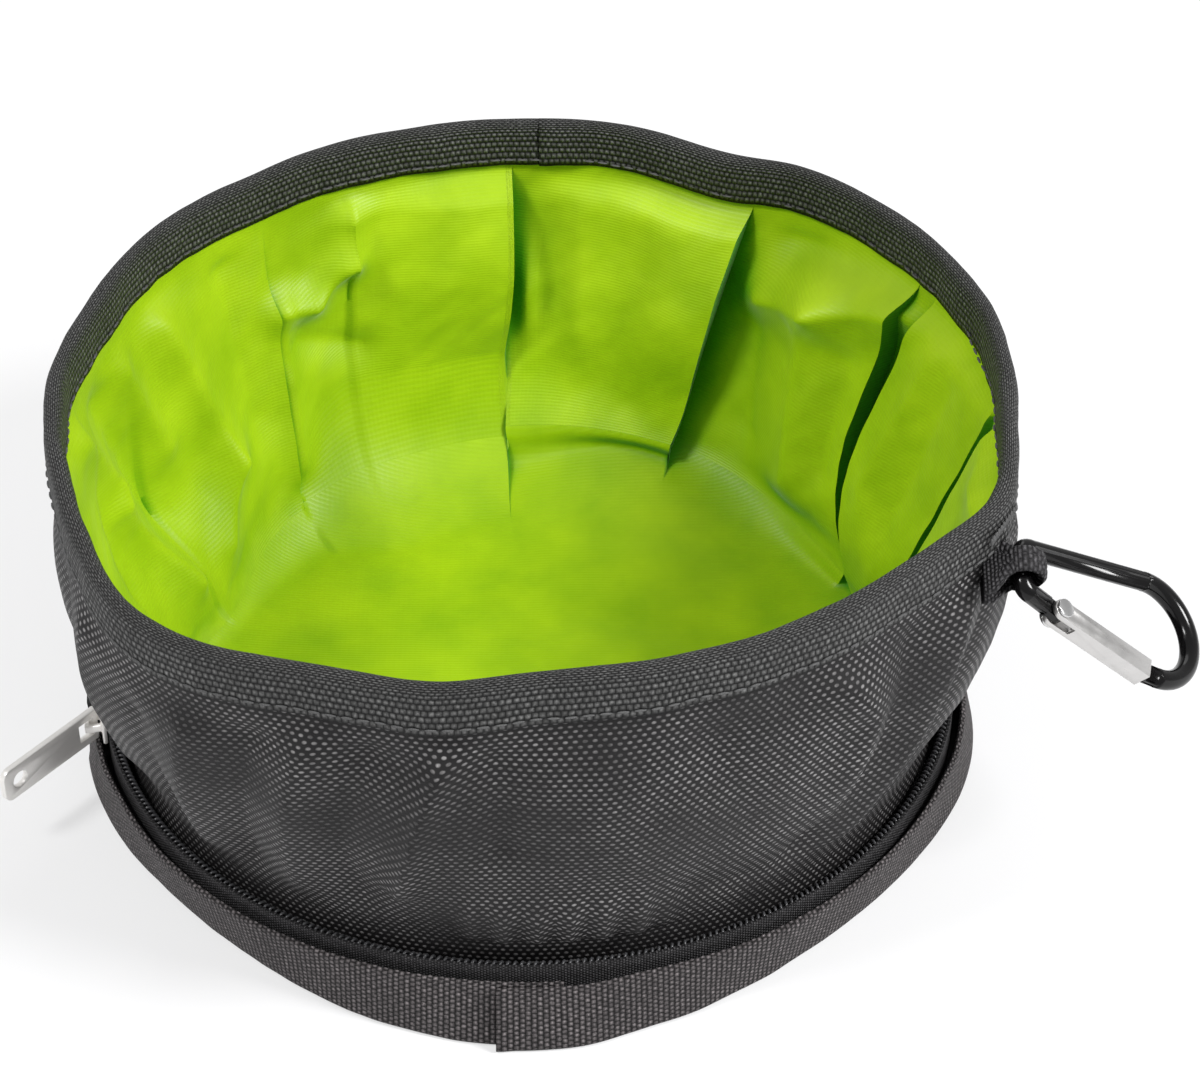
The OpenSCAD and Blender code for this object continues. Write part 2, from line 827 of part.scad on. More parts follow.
// Angle at which the straight spine leaves the bends that it touches
spine_run = wide_mid - spine_corner;
spine_turn = atan2(spine_run[1], spine_run[0])
    + acos((hook_corner_r - hook_wide_r) / norm(spine_run));
nose_side = -hook_wide_side - hook_wide_r;
rivet_at = [rivet_along, -rivet_side];
root_run = rivet_at - gate_corner;
root_turn = 360 + atan2(root_run[1], root_run[0]) - acos(hook_corner_r / norm(root_run));
nose_tip = [hook_len - nose_len, nose_side];
gate_reach = norm(nose_tip - rivet_at);
gate_turn = atan2(nose_tip[1] - rivet_at[1], nose_tip[0] - rivet_at[0]);
heel_r = gate_w / 2 + 0.2 * gate_w;

// A straight run is a hair thinner than the bends and reaches a little into each
module bar_run(from, to) {
    run = to - from;
    translate([from[0], from[1], 0])
        rotate([0, 90, atan2(run[1], run[0])])
            translate([0, 0, -weld])
                cylinder(r = hook_bar_r - touch_gap, h = norm(run) + 2 * weld, $fn = 64);
}

module bar_bend(middle, r, from, to) {
    translate([middle[0], middle[1], 0])
        rotate([0, 0, from])
            rotate_extrude(angle = to - from, $fn = 64)
                translate([r, 0])
                    circle(r = hook_bar_r, $fn = 64);
}

// Places what follows at the gate's rivet, with +X along the closed gate
module at_gate() {
    translate([rivet_at[0], rivet_at[1], 0])
        rotate([0, 0, gate_turn])
            children();
}

function on_bend(middle, r, turn) = middle + r * [cos(turn), sin(turn)];

module carabiner_bar() {
    root = on_bend(gate_corner, hook_corner_r, root_turn);
    bar_run([0, narrow_half], [0, -narrow_half]);
    bar_bend(spine_corner, hook_corner_r, spine_turn, 180);
    bar_bend(gate_corner, hook_corner_r, 180, root_turn);
    bar_run(root, rivet_at);
    bar_run(on_bend(spine_corner, hook_corner_r, spine_turn),
            on_bend(wide_mid, hook_wide_r, spine_turn));
    bar_bend(wide_mid, hook_wide_r, -90, spine_turn);
    bar_run([hook_len, nose_side], [hook_len - 2 * nose_len, nose_side]);
}

module carabiner_body() {
    root = on_bend(gate_corner, hook_corner_r, root_turn);
    blade_half = hook_bar_r - weld;
    blade_run = norm(rivet_at - root);
    blade_turn = atan2(root[1] - rivet_at[1], root[0] - rivet_at[0]);
    color(black_cloth)
        at_hook()
            difference() {
                union() {
                    difference() {
                        carabiner_bar();
                        translate([rivet_at[0], rivet_at[1], 0])
                            cylinder(r = heel_r + soft_gap, h = 3 * gate_w, center = true, $fn = 64);
                        intersection() {
                            translate([rivet_at[0], rivet_at[1], 0])
                                cylinder(r = gate_reach + soft_gap / 2, h = 3 * gate_w,
                                         center = true, $fn = 180);
                            translate([hook_len - 3 * nose_len, nose_side - gate_w, -gate_w])
                                cube([3 * nose_len, 2 * gate_w, 2 * gate_w]);
                        }
                    }
                    translate([rivet_at[0], rivet_at[1], 0]) {
                        rotate([0, 0, blade_turn])
                            translate([0, -blade_half, -blade_t / 2])
                                cube([blade_run - weld, 2 * blade_half, blade_t]);
                        cylinder(r = blade_half, h = blade_t, center = true, $fn = 48);
                    }
                }
                translate([rivet_at[0], rivet_at[1], 0])
                    cylinder(r = rivet_r + pin_gap, h = blade_t + cut_over, center = true, $fn = 48);
            }
}

module gate_rivet() {
    color(silver)
        at_hook()
            at_gate() {
                cylinder(r = rivet_r, h = gate_w + 2 * pin_gap + rivet_head_t, center = true, $fn = 48);
                for (side = [-1, 1])
                    translate([0, 0, side * (gate_w / 2 + pin_gap + rivet_head_t / 2)])
                        cylinder(r = rivet_head_r, h = rivet_head_t, center = true, $fn = 48);
            }
}

module carabiner_gate() {
    gate_len = gate_reach - soft_gap / 2;
    slot_len = heel_r + weld + soft_gap + cut_over;
    slot_t = blade_t + 2 * blade_gap;
    trough_w = gate_w - 2 * gate_wall;
    color(silver)
        at_hook()
            at_gate()
                difference() {
                    union() {
                        intersection() {
                            translate([0, -gate_w / 2, -gate_w / 2])
                                cube([gate_reach + cut_over, gate_w, gate_w]);
                            cylinder(r = gate_len, h = 2 * gate_w, center = true, $fn = 180);
                        }
                        cylinder(r = gate_w / 2, h = gate_w, center = true, $fn = 48);
                    }
                    translate([-gate_w, -gate_w, -slot_t / 2])
                        cube([gate_w + slot_len, 2 * gate_w, slot_t]);
                    translate([slot_len, gate_wall - gate_w / 2, -trough_w / 2])
                        cube([gate_len - 2 * gate_wall - slot_len, gate_w, trough_w]);
                    cylinder(r = rivet_r + pin_gap, h = gate_w + cut_over, center = true, $fn = 48);
                }
}

module gate_spring() {
    slot_len = heel_r + weld + soft_gap + cut_over;
    color(silver)
        at_hook()
            at_gate()
                translate([
                    slot_len + seam_gap,
                    gate_wall - gate_w / 2 + gate_spring_r + touch_gap, 0
                ])
                    rotate([0, 90, 0])
                        cylinder(r = gate_spring_r, h = gate_spring_len, $fn = 32);
}

base_panel();
band_left();
band_right();
rear_panel();
hinge_gusset();
tray_zip_tape();
tray_zip_coil();
zip_end_box();
zip_top_stop();
bowl_base();
floor_board();
outer_wall();
lining_wall();
lining_floor();
hem_zip_tape();
hem_zip_coil();
rim_binding();
rim_stitching();
carabiner_loop();
loop_bartack();
zip_slider();
zip_pull();
carabiner_body();
gate_rivet();
carabiner_gate();
gate_spring();
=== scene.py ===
"""Looks of a collapsible pet bowl: cloth, webbing, zip and carabiner round the CAD frame."""
import math

import bpy
from mathutils import Matrix, Vector, noise


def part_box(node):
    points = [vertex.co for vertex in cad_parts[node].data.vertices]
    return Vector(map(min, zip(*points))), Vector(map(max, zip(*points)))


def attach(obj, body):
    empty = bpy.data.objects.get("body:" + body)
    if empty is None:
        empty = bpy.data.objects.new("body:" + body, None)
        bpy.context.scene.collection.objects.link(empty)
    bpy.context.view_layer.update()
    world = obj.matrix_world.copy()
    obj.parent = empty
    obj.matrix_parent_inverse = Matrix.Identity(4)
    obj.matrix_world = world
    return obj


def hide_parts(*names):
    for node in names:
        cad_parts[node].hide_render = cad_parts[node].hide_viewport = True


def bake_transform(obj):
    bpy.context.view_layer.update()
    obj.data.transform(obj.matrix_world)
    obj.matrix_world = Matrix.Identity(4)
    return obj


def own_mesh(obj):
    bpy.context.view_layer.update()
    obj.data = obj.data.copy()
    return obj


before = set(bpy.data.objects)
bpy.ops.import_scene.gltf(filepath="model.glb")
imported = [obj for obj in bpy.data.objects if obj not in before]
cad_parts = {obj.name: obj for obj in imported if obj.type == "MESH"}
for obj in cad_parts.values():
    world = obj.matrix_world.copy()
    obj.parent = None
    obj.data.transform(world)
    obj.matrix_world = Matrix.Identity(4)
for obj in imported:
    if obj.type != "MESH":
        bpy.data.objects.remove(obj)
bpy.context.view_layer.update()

MM = 0.001

# Bowl and rim, in millimetres, as in the CAD; wall and binding are joined at the back
SEAM_SIDE = 90
RIM_SHIFT = 1.5
BINDING_T = 1.1
WALL_T = 0.8
LINING_T = 0.5
CLOTH_TOP_Z = 106.5
BINDING_FOOT_Z = 95.5

# Pouch and zip, in millimetres
FOOT_R = 107.5
BAND_T = 1.5
BAND_H = 15
TAPE_R = 104.6
TAPE_T = 0.6
TEETH_R = 103.1
TEETH_Z = 18

# Vertices closer than this are one, and a sheet is smooth across edges up to this angle
SAME_PLACE = 0.002 * MM
CREASE_ANGLE = 65


def smooth(low, high, x):
    """0 below low, 1 above high, and a smooth step between."""
    t = min(1, max(0, (x - low) / (high - low)))
    return t * t * (3 - 2 * t)


def turn_from(turn, middle):
    """Signed angle from middle to turn, in degrees."""
    return (turn - middle + 180) % 360 - 180


def in_turns(turn):
    """Direction at an angle in degrees, as X and Y."""
    a = math.radians(turn)
    return math.cos(a), math.sin(a)


def bump(turn, middle, spread):
    """1 at the middle, falling smoothly to nothing on both sides."""
    return math.exp(-((turn_from(turn, middle) / spread) ** 2))


def along(stops, x):
    """Smooth curve through (x, value) stops, with level ends."""
    if x <= stops[0][0]:
        return stops[0][1]
    for k in range(1, len(stops)):
        if x <= stops[k][0]:
            break
    else:
        return stops[-1][1]
    (x0, y0), (x1, y1) = stops[k - 1], stops[k]
    before = stops[k - 2] if k > 1 else stops[k - 1]
    after = stops[k + 1] if k + 1 < len(stops) else stops[k]
    slope0 = (y1 - before[1]) / (x1 - before[0])
    slope1 = (after[1] - y0) / (after[0] - x0)
    h = x1 - x0
    t = (x - x0) / h
    return (
        (2 * t**3 - 3 * t**2 + 1) * y0
        + (t**3 - 2 * t**2 + t) * h * slope0
        + (3 * t**2 - 2 * t**3) * y1
        + (t**3 - t**2) * h * slope1
    )


def ripple(x, y, z, size):
    """Even noise of about -1 to 1 with features of the given size in millimetres."""
    return noise.noise(Vector((x / size, y / size, z / size)))


# The rim's own shape, as in the CAD, with small kinks of the binding added: how far it is
# pushed out and how far it sags at each angle
def rim_push(turn):
    return (
        6 * bump(turn, 225, 20)
        + 5 * bump(turn, 334, 10)
        - 1.8 * bump(turn, 166, 12)
        - 1.3 * bump(turn, 62, 8)
        + 1.2 * bump(turn, 262, 6)
        + 0.45 * ripple(turn, 3, 0, 9)
    )


def rim_sag(turn):
    return (
        8 * (bump(turn, 226, 22) + 0.35 * bump(turn, 257, 10) + 0.35 * bump(turn, 65, 10))
        + 0.8 * bump(turn, 131, 5)
        + 0.45 * ripple(turn, 9, 0, 12)
    )


def ring_point(turn, radius, height, follow):
    """A point round the bowl; follow says how much of the rim's shape it takes."""
    r, (x, y) = radius + rim_push(turn) * follow, in_turns(turn)
    shift = RIM_SHIFT * follow
    return shift + r * x, shift + r * y, height - rim_sag(turn) * follow


def deselect():
    if bpy.context.mode != "OBJECT":
        bpy.ops.object.mode_set(mode="OBJECT")
    bpy.ops.object.select_all(action="DESELECT")


def edit_all(obj):
    """Opens one piece in edit mode with everything on it selected."""
    deselect()
    obj.select_set(True)
    bpy.context.view_layer.objects.active = obj
    bpy.ops.object.mode_set(mode="EDIT")
    bpy.ops.mesh.select_all(action="SELECT")


def cloth_grid(name, columns, rows, place, texture, thick=0.0, angle=180):
    """A grid bent into a piece. place gives each point, in millimetres, from its shares of the
    two directions, and texture its place on the cloth. Edges that meet are merged. A sheet
    grows by thick millimetres behind its face."""
    deselect()
    bpy.ops.mesh.primitive_grid_add(x_subdivisions=columns, y_subdivisions=rows, size=1)
    obj = bpy.context.object
    obj.name = name
    mesh = obj.data
    mesh.name = name
    shares = [(v.co.x + 0.5, v.co.y + 0.5) for v in mesh.vertices]
    for layer in list(mesh.uv_layers):
        mesh.uv_layers.remove(layer)
    layer = mesh.uv_layers.new(name="cloth_mm")
    on_cloth = [texture(a, b) for a, b in shares]
    for loop in mesh.loops:
        layer.data[loop.index].uv = on_cloth[loop.vertex_index]
    for vertex, (a, b) in zip(mesh.vertices, shares):
        vertex.co = Vector(place(a, b)) * MM
    edit_all(obj)
    bpy.ops.mesh.remove_doubles(threshold=SAME_PLACE)
    bpy.ops.object.mode_set(mode="OBJECT")
    if thick:
        shell = obj.modifiers.new("cloth thickness", "SOLIDIFY")
        shell.thickness = thick * MM
        shell.offset = -1
        bpy.ops.object.modifier_apply(modifier=shell.name)
    smooth_piece(obj, angle)
    return obj


def smooth_piece(obj, angle):
    """Shades a piece smooth across edges up to the given angle."""
    deselect()
    obj.select_set(True)
    bpy.context.view_layer.objects.active = obj
    bpy.ops.object.shade_smooth_by_angle(angle=math.radians(angle))
    deselect()


def close_ends(obj):
    """Fills the open ends of a tube and turns every face outwards."""
    edit_all(obj)
    bpy.ops.mesh.select_all(action="DESELECT")
    bpy.ops.mesh.select_mode(type="EDGE")
    bpy.ops.mesh.select_non_manifold(extend=False)
    bpy.ops.mesh.fill_holes(sides=0)
    bpy.ops.mesh.select_mode(type="VERT")
    bpy.ops.mesh.select_all(action="SELECT")
    bpy.ops.mesh.normals_make_consistent(inside=False)
    bpy.ops.object.mode_set(mode="OBJECT")
    deselect()


def eased_copy(node, name, ease):
    """A merged copy of a CAD node with its edges eased, which stands for the node."""
    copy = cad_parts[node].copy()
    copy.data = copy.data.copy()
    copy.name = name
    bpy.context.scene.collection.objects.link(copy)
    bpy.context.view_layer.update()
    copy.data.transform(copy.matrix_world)
    copy.parent = None
    copy.matrix_world = Matrix.Identity(4)
    for key in list(copy.keys()):
        del copy[key]
    edit_all(copy)
    bpy.ops.mesh.remove_doubles(threshold=SAME_PLACE)
    bpy.ops.mesh.dissolve_limited(angle_limit=math.radians(1))
    bpy.ops.object.mode_set(mode="OBJECT")
    if ease:
        easing = copy.modifiers.new("eased edges", "BEVEL")
        easing.width = ease * MM
        easing.segments = 2
        easing.limit_method = "ANGLE"
        easing.angle_limit = math.radians(30)
        easing.harden_normals = False
        bpy.ops.object.modifier_apply(modifier=easing.name)
    smooth_piece(copy, 40)
    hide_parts(node)
    return copy


# Materials
SHINE = "Specular IOR Level"


def material(name, base, roughness, others=()):
    """A material with its colour, its roughness and any other inputs set by name."""
    mat = bpy.data.materials.new(name)
    mat.use_nodes = True
    shader = mat.node_tree.nodes["Principled BSDF"]
    for key, value in {"Base Color": (*base, 1), "Roughness": roughness, **dict(others)}.items():
        shader.inputs[key].default_value = value
    return mat, mat.node_tree, shader


def add(tree, kind, inputs=(), **settings):
    """Adds a node, sets what it is told and links or fills its inputs by name or number."""
    made = tree.nodes.new("ShaderNode" + kind)
    for key, value in settings.items():
        setattr(made, key, value)
    for key, value in dict(inputs).items():
        if isinstance(value, bpy.types.NodeSocket):
            tree.links.new(value, made.inputs[key])
        else:
            made.inputs[key].default_value = value
    return made


# Each of these helpers adds its node to the tree of the first socket that it is given
def work_out(operation, a, b=0.0, clamp=False):
    made = add(a.id_data, "Math", {0: a, 1: b}, operation=operation, use_clamp=clamp)
    return made.outputs[0]


def times(a, b, clamp=False):
    return work_out("MULTIPLY", a, b, clamp)


def plus(a, b, clamp=False):
    return work_out("ADD", a, b, clamp)


def spread_to(value, start, end, low=0.0, high=1.0, eased=False):
    """Spreads what lies from start to end over low to high, and holds it at both."""
    return add(
        value.id_data, "MapRange",
        {"Value": value, "From Min": start, "From Max": end, "To Min": low, "To Max": high},
        interpolation_type="SMOOTHSTEP" if eased else "LINEAR",
    ).outputs[0]


def patches(place, scale, detail=2.0, roughness=0.5):
    """Random patches between 0 and 1, scale of them in each unit of the place."""
    return add(
        place.id_data, "TexNoise",
        {"Vector": place, "Scale": scale, "Detail": detail, "Roughness": roughness},
    ).outputs[0]


def blend_colour(share, low, high):
    ends = (end if isinstance(end, bpy.types.NodeSocket) else (*end, 1) for end in (low, high))
    inputs = dict(zip((0, 6, 7), (share, *ends)))
    return add(share.id_data, "Mix", inputs, data_type="RGBA").outputs[2]


def tinted(colour, share):
    return tuple(min(1, share * part) for part in colour)


def parts_of(place):
    return add(place.id_data, "SeparateXYZ", {0: place}).outputs


def new_group(name, inputs, outputs):
    """A node group. An input without a value is a place; the others, and all that comes out,
    are numbers."""
    tree = bpy.data.node_groups.new(name, "ShaderNodeTree")
    for label, value in inputs.items():
        kind = "NodeSocketVector" if value is None else "NodeSocketFloat"
        socket = tree.interface.new_socket(label, in_out="INPUT", socket_type=kind)
        if value is not None:
            socket.default_value = value
    for label in outputs:
        tree.interface.new_socket(label, in_out="OUTPUT", socket_type="NodeSocketFloat")
    start, end = tree.nodes.new("NodeGroupInput"), tree.nodes.new("NodeGroupOutput")
    return tree, start.outputs, end.inputs


def place_group(tree, group, inputs):
    return add(tree, "Group", inputs, node_tree=group).outputs


def shifted(row, column):
    """The column, moved by half a step on every other row."""
    odd = work_out("FLOORED_MODULO", work_out("FLOOR", row), 2.0)
    return plus(column, times(odd, 0.5))


def crowns(steps):
    """A rounded crown over each whole step."""
    return work_out("ABSOLUTE", work_out("SINE", times(steps, math.pi)))


def fine_waves(value, pitch):
    return work_out("SINE", times(value, 2 * math.pi / pitch))


def webbing_weave():
    """Ribs across the webbing, each broken into short cells that alternate from rib to rib.
    Across and Along are the rib's and the cell's lengths in millimetres."""
    tree, start, end = new_group(
        "webbing weave", {"Place": None, "Across": 1.2, "Along": 1.5}, ("Height", "Fleck")
    )
    rib_sharpness = 1.3
    place = parts_of(start["Place"])
    rib = work_out("DIVIDE", place[0], start["Across"])
    cell = shifted(rib, work_out("DIVIDE", place[1], start["Along"]))
    crown = work_out("POWER", crowns(rib), rib_sharpness)
    height = times(crown, crowns(cell))
    yarn = patches(start["Place"], 0.9, 3.0, 0.7)
    tree.links.new(height, end["Height"])
    tree.links.new(times(spread_to(yarn, 0.44, 0.66), height), end["Fleck"])
    return tree


def raised_dots():
    """Staggered lattice of small raised dots on cloth, with its place in millimetres."""
    tree, start, end = new_group(
        "raised dots", {"Place": None, "Pitch": 2.4, "Row": 1.55}, ("Dot", "Thread")
    )
    thread_pitch = math.pi / 7
    place = parts_of(start["Place"])
    row = work_out("DIVIDE", place[1], start["Row"])
    column = shifted(row, work_out("DIVIDE", place[0], start["Pitch"]))
    off = []
    for value, stretch in ((column, 2.05), (row, 1.95)):
        part = work_out("SUBTRACT", work_out("FRACT", value), 0.5)
        off.append(work_out("POWER", times(part, stretch), 2.0))
    away = work_out("SQRT", plus(off[0], off[1]))
    thread = times(
        fine_waves(place[1], thread_pitch), fine_waves(place[0], thread_pitch)
    )
    tree.links.new(spread_to(away, 0.72, 0.3, eased=True), end["Dot"])
    tree.links.new(thread, end["Thread"])
    return tree


def worn_metal():
    """Fine scuffs and cast grain in the piece's own space, in metres."""
    tree, start, end = new_group(
        "worn metal", {"Place": None, "Fineness": 900.0}, ("Scuff", "Grain")
    )
    tree.links.new(patches(start["Place"], 260.0, 4.0, 0.6), end["Scuff"])
    tree.links.new(patches(start["Place"], start["Fineness"]), end["Grain"])
    return tree


WEAVE = webbing_weave()
DOTS = raised_dots()
METAL = worn_metal()


def cloth_place(tree):
    """Place on the cloth, in millimetres."""
    return add(tree, "UVMap", uv_map="cloth_mm").outputs[0]


def own_place(tree):
    """Place in the piece's own space, in metres."""
    return add(tree, "TexCoord").outputs["Object"]


def feed(tree, shader, colour, height, strength, distance, roughness=None):
    """Gives a shader its colour, its relief, distance millimetres deep, and its roughness."""
    relief = add(
        tree, "Bump",
        {"Height": height, "Strength": strength, "Distance": distance * MM},
    ).outputs[0]
    tree.links.new(colour, shader.inputs["Base Color"])
    tree.links.new(relief, shader.inputs["Normal"])
    if roughness is not None:
        tree.links.new(roughness, shader.inputs["Roughness"])


def webbing_finish(name, dark, light, across, along_rib):
    """Painted shade in the weave's gaps and painted light on its crowns, pale flecks of yarn and
    dulled patches.
    """
    mat, tree, shader = material(name, dark, 0.62, {SHINE: 0.22})
    place = cloth_place(tree)
    weave = place_group(tree, WEAVE, {"Place": place, "Across": across, "Along": along_rib})
    # Gaps painted dark as painted shade and crowns lighter as painted light, by the weave's height
    lit = blend_colour(weave["Height"], dark, light)
    flecked = blend_colour(weave["Fleck"], lit, tinted(light, 2.6))
    worn = times(patches(place, 0.06), 0.45)
    dulled = blend_colour(worn, flecked, tinted(dark, 0.6))
    feed(tree, shader, dulled, weave["Height"], 0.9, 0.45)
    return mat


def dotted_cloth():
    """Near-black cloth whose raised dots are pale, partly as painted highlight, and paler in large
    patches of painted sheen.
    """
    # The dots' colour is partly their own paler yarn and partly a painted highlight
    ground, dot_colour_and_glint = (0.0070, 0.0063, 0.0068), (0.26, 0.252, 0.252)
    mat, tree, shader = material("dotted outer cloth", ground, 0.5, {SHINE: 0.3})
    place = cloth_place(tree)
    dots = place_group(tree, DOTS, {"Place": place, "Pitch": 2.05, "Row": 1.35})
    # Large patches where the dots are painted paler: painted sheen
    painted_sheen_patches = spread_to(patches(place, 0.035, 3.0), 0.36, 0.64, 0.3, 1.0)
    uneven = spread_to(patches(place, 0.55), 0.3, 0.7, 0.35, 1.25)
    dot = times(times(dots["Dot"], painted_sheen_patches), uneven, clamp=True)
    colour = blend_colour(dot, ground, dot_colour_and_glint)
    height = plus(dots["Dot"], times(dots["Thread"], 0.12))
    feed(tree, shader, colour, height, 0.8, 0.3, spread_to(dot, 0.0, 1.0, 0.56, 0.27))
    return mat


def coated_lining():
    """Lime coated cloth with fine ribs, in darker colours near the floor as painted shade, and
    its folds painted deep green as painted shade where they close."""
    deep, fresh = (0.285, 0.465, 0.002), (0.395, 0.59, 0.006)
    # Darker colours for the floor: painted shade, as the floor lies more in shade than the wall
    floor_shade_deep, floor_shade_fresh = (0.215, 0.375, 0.001), (0.31, 0.475, 0.002)
    # Deep green, and the reach in metres of the ambient occlusion that places it: painted shade in
    # closing folds
    painted_fold_shade, fold_shade_reach = (0.05, 0.27, 0.001), 0.03
    low_z, high_z = 0.010, 0.042
    rib_pitch, warp_pitch = 0.9, 1.3
    sheen = {SHINE: 0.3, "Sheen Weight": 0.16, "Sheen Roughness": 0.35}
    mat, tree, shader = material("coated lime lining", fresh, 0.48, sheen)
    place = cloth_place(tree)
    on_cloth = parts_of(place)
    crinkle = patches(place, 0.045, 4.0)
    tone = spread_to(crinkle, 0.32, 0.66)
    # Share of the wall's colours by height; below it the floor's darker colours give painted shade
    raised = spread_to(parts_of(own_place(tree))[2], low_z, high_z, eased=True)
    high = blend_colour(tone, deep, fresh)
    low = blend_colour(tone, floor_shade_deep, floor_shade_fresh)
    # Painted shade: ambient occlusion turns the colour deep green where the folds close
    openness = add(tree, "AmbientOcclusion", {"Distance": fold_shade_reach}, samples=8).outputs["AO"]
    fold_shade_share = spread_to(openness, 0.8, 0.36, eased=True)
    colour = blend_colour(fold_shade_share, blend_colour(raised, low, high), painted_fold_shade)
    rib = fine_waves(on_cloth[1], rib_pitch)
    warp = fine_waves(on_cloth[0], warp_pitch)
    threads = plus(times(rib, 0.03), times(warp, 0.01))
    height = plus(threads, times(crinkle, 0.5))
    feed(tree, shader, colour, height, 0.55, 0.9, spread_to(rib, -1.0, 1.0, 0.54, 0.42))
    return mat


def plain_cloth(name, base, scale, roughness=0.75):
    """Close plain weave in the piece's own space; scale is threads in a metre."""
    mat, tree, shader = material(name, base, roughness)
    place = own_place(tree)
    waves = [
        add(
            tree, "TexWave",
            {"Vector": place, "Scale": scale, "Distortion": 0.4, "Detail": 1.0},
            bands_direction=direction,
        ).outputs[1]
        for direction in ("X", "Z")
    ]
    height = times(waves[0], waves[1])
    dust = patches(place, 60.0, 3.0)
    # Thread crowns painted lighter as painted light and gaps darker as painted shade, by the
    # weave's height
    lit = blend_colour(height, base, tinted(base, 1.8))
    feed(tree, shader, lit, plus(height, dust), 0.4, 0.15)
    return mat


def metal_finish(name, base, roughness, uneven, grain_height=0.02, metallic=1.0, gloss=0.5):
    mat, tree, shader = material(name, base, roughness, {"Metallic": metallic, SHINE: gloss})
    worn = place_group(tree, METAL, {"Place": own_place(tree), "Fineness": 1400.0})
    rough = spread_to(worn["Scuff"], 0.35, 0.7, roughness - uneven, roughness + uneven)
    scuffed = blend_colour(worn["Scuff"], base, tinted(base, 0.9))
    feed(tree, shader, scuffed, worn["Grain"], 0.25, grain_height, rough)
    return mat


def moulded(name, base, roughness):
    mat, tree, shader = material(name, base, roughness)
    grain = patches(own_place(tree), 1500.0)
    feed(tree, shader, blend_colour(grain, base, tinted(base, 1.5)), grain, 0.2, 0.02)
    return mat


# Name, colour of the gaps as painted shade and of the crowns as painted light, and the length of a
# rib and of a cell
BINDING_FINISH, BAND_FINISH, LOOP_FINISH, TAPE_FINISH = (
    webbing_finish(*values) for values in (
        ("binding webbing", (0.003, 0.003, 0.0032), (0.10, 0.10, 0.098), 1.15, 1.5),
        ("band webbing", (0.002, 0.0018, 0.0018), (0.125, 0.112, 0.114), 1.3, 1.15),
        ("loop webbing", (0.010, 0.0095, 0.0105), (0.055, 0.053, 0.056), 0.85, 1.1),
        ("zip tape webbing", (0.014, 0.0135, 0.0145), (0.06, 0.058, 0.06), 0.7, 0.8),
    )
)
DOTTED = dotted_cloth()
LINING = coated_lining()
BLACK_CLOTH = plain_cloth("black cloth", (0.012, 0.012, 0.013), 420.0)
THREAD_FINISH = plain_cloth("grey thread", (0.065, 0.065, 0.065), 900.0, 0.6)
BOARD_FINISH = moulded("stiff board", (0.05, 0.05, 0.055), 0.5)
TEETH_FINISH = moulded("zip teeth", (0.045, 0.045, 0.048), 0.3)
ZIP_METAL = metal_finish("zip metal", (0.92, 0.90, 0.87), 0.4, 0.06, metallic=0.35)
HOOK_BLACK = metal_finish(
    "black anodised", (0.0035, 0.0033, 0.0036), 0.17, 0.05, 0.006, metallic=0.0, gloss=0.3
)
GATE_METAL = metal_finish("gate aluminium", (0.66, 0.65, 0.64), 0.34, 0.07)
RIVET_METAL = metal_finish("rivet steel", (0.68, 0.68, 0.68), 0.22, 0.08)


def dress(obj, finish):
    """Gives a piece, or a CAD node that stays, its one finish."""
    obj.data.materials.clear()
    obj.data.materials.append(finish)


def settle(obj, finish, node, body=None):
    """Gives a piece its finish, hides the CAD node that it stands for and puts it on its body."""
    dress(obj, finish)
    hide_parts(node)
    if body:
        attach(obj, body)
    return obj


# Camera, floor and light
def look_from_the_front():
    aim = Vector((17.3, 0, 59.5)) * MM
    distance, down, lens, sensor = 0.760, math.radians(38), 95.07, 36
    camera = bpy.data.objects.new("camera", bpy.data.cameras.new("camera"))
    bpy.context.scene.collection.objects.link(camera)
    camera.data.lens = lens
    camera.data.sensor_width = sensor
    camera.data.sensor_fit = "HORIZONTAL"
    camera.data.clip_start = 0.01
    camera.location = aim + distance * Vector((0, -math.cos(down), math.sin(down)))
    camera.rotation_euler = (math.pi / 2 - down, 0, 0)
    bpy.context.scene.camera = camera


# How much of the floor's look is plain white paper; the rest takes the shadow
PAPER_SHARE = 0.55


def pale_floor():
    """Floor a hair below the base: as far as it is seen it is partly white paper."""
    size, gap = 12, 0.0002
    bpy.ops.mesh.primitive_plane_add(size=size, location=(0, 0, -gap))
    floor = bpy.context.object
    floor.name = "floor"
    mat, tree, shader = material("pale floor", (0.86, 0.86, 0.87), 0.9, {SHINE: 0.1})
    paper = add(tree, "Emission", {"Strength": 1.0})
    path = add(tree, "LightPath").outputs
    mirrored = plus(path["Is Glossy Ray"], path["Is Transmission Ray"])
    seen = plus(path["Is Camera Ray"], mirrored, clamp=True)
    mix = add(tree, "MixShader", {0: times(seen, PAPER_SHARE)})
    tree.links.new(shader.outputs[0], mix.inputs[1])
    tree.links.new(paper.outputs[0], mix.inputs[2])
    end = next(n for n in tree.nodes if n.type == "OUTPUT_MATERIAL")
    tree.links.new(mix.outputs[0], end.inputs["Surface"])
    dress(floor, mat)


LAMP_AIM = Vector((0, 0, 0.06))
SKY_LIGHT = 0.48


def soft_lamp(name, place, size, power):
    lamp = bpy.data.lights.new(name, "AREA")
    lamp.shape = "DISK"
    lamp.size = size
    lamp.energy = power
    holder = bpy.data.objects.new(name, lamp)
    bpy.context.scene.collection.objects.link(holder)
    holder.location = place
    holder.rotation_euler = (LAMP_AIM - Vector(place)).to_track_quat("-Z", "Y").to_euler()


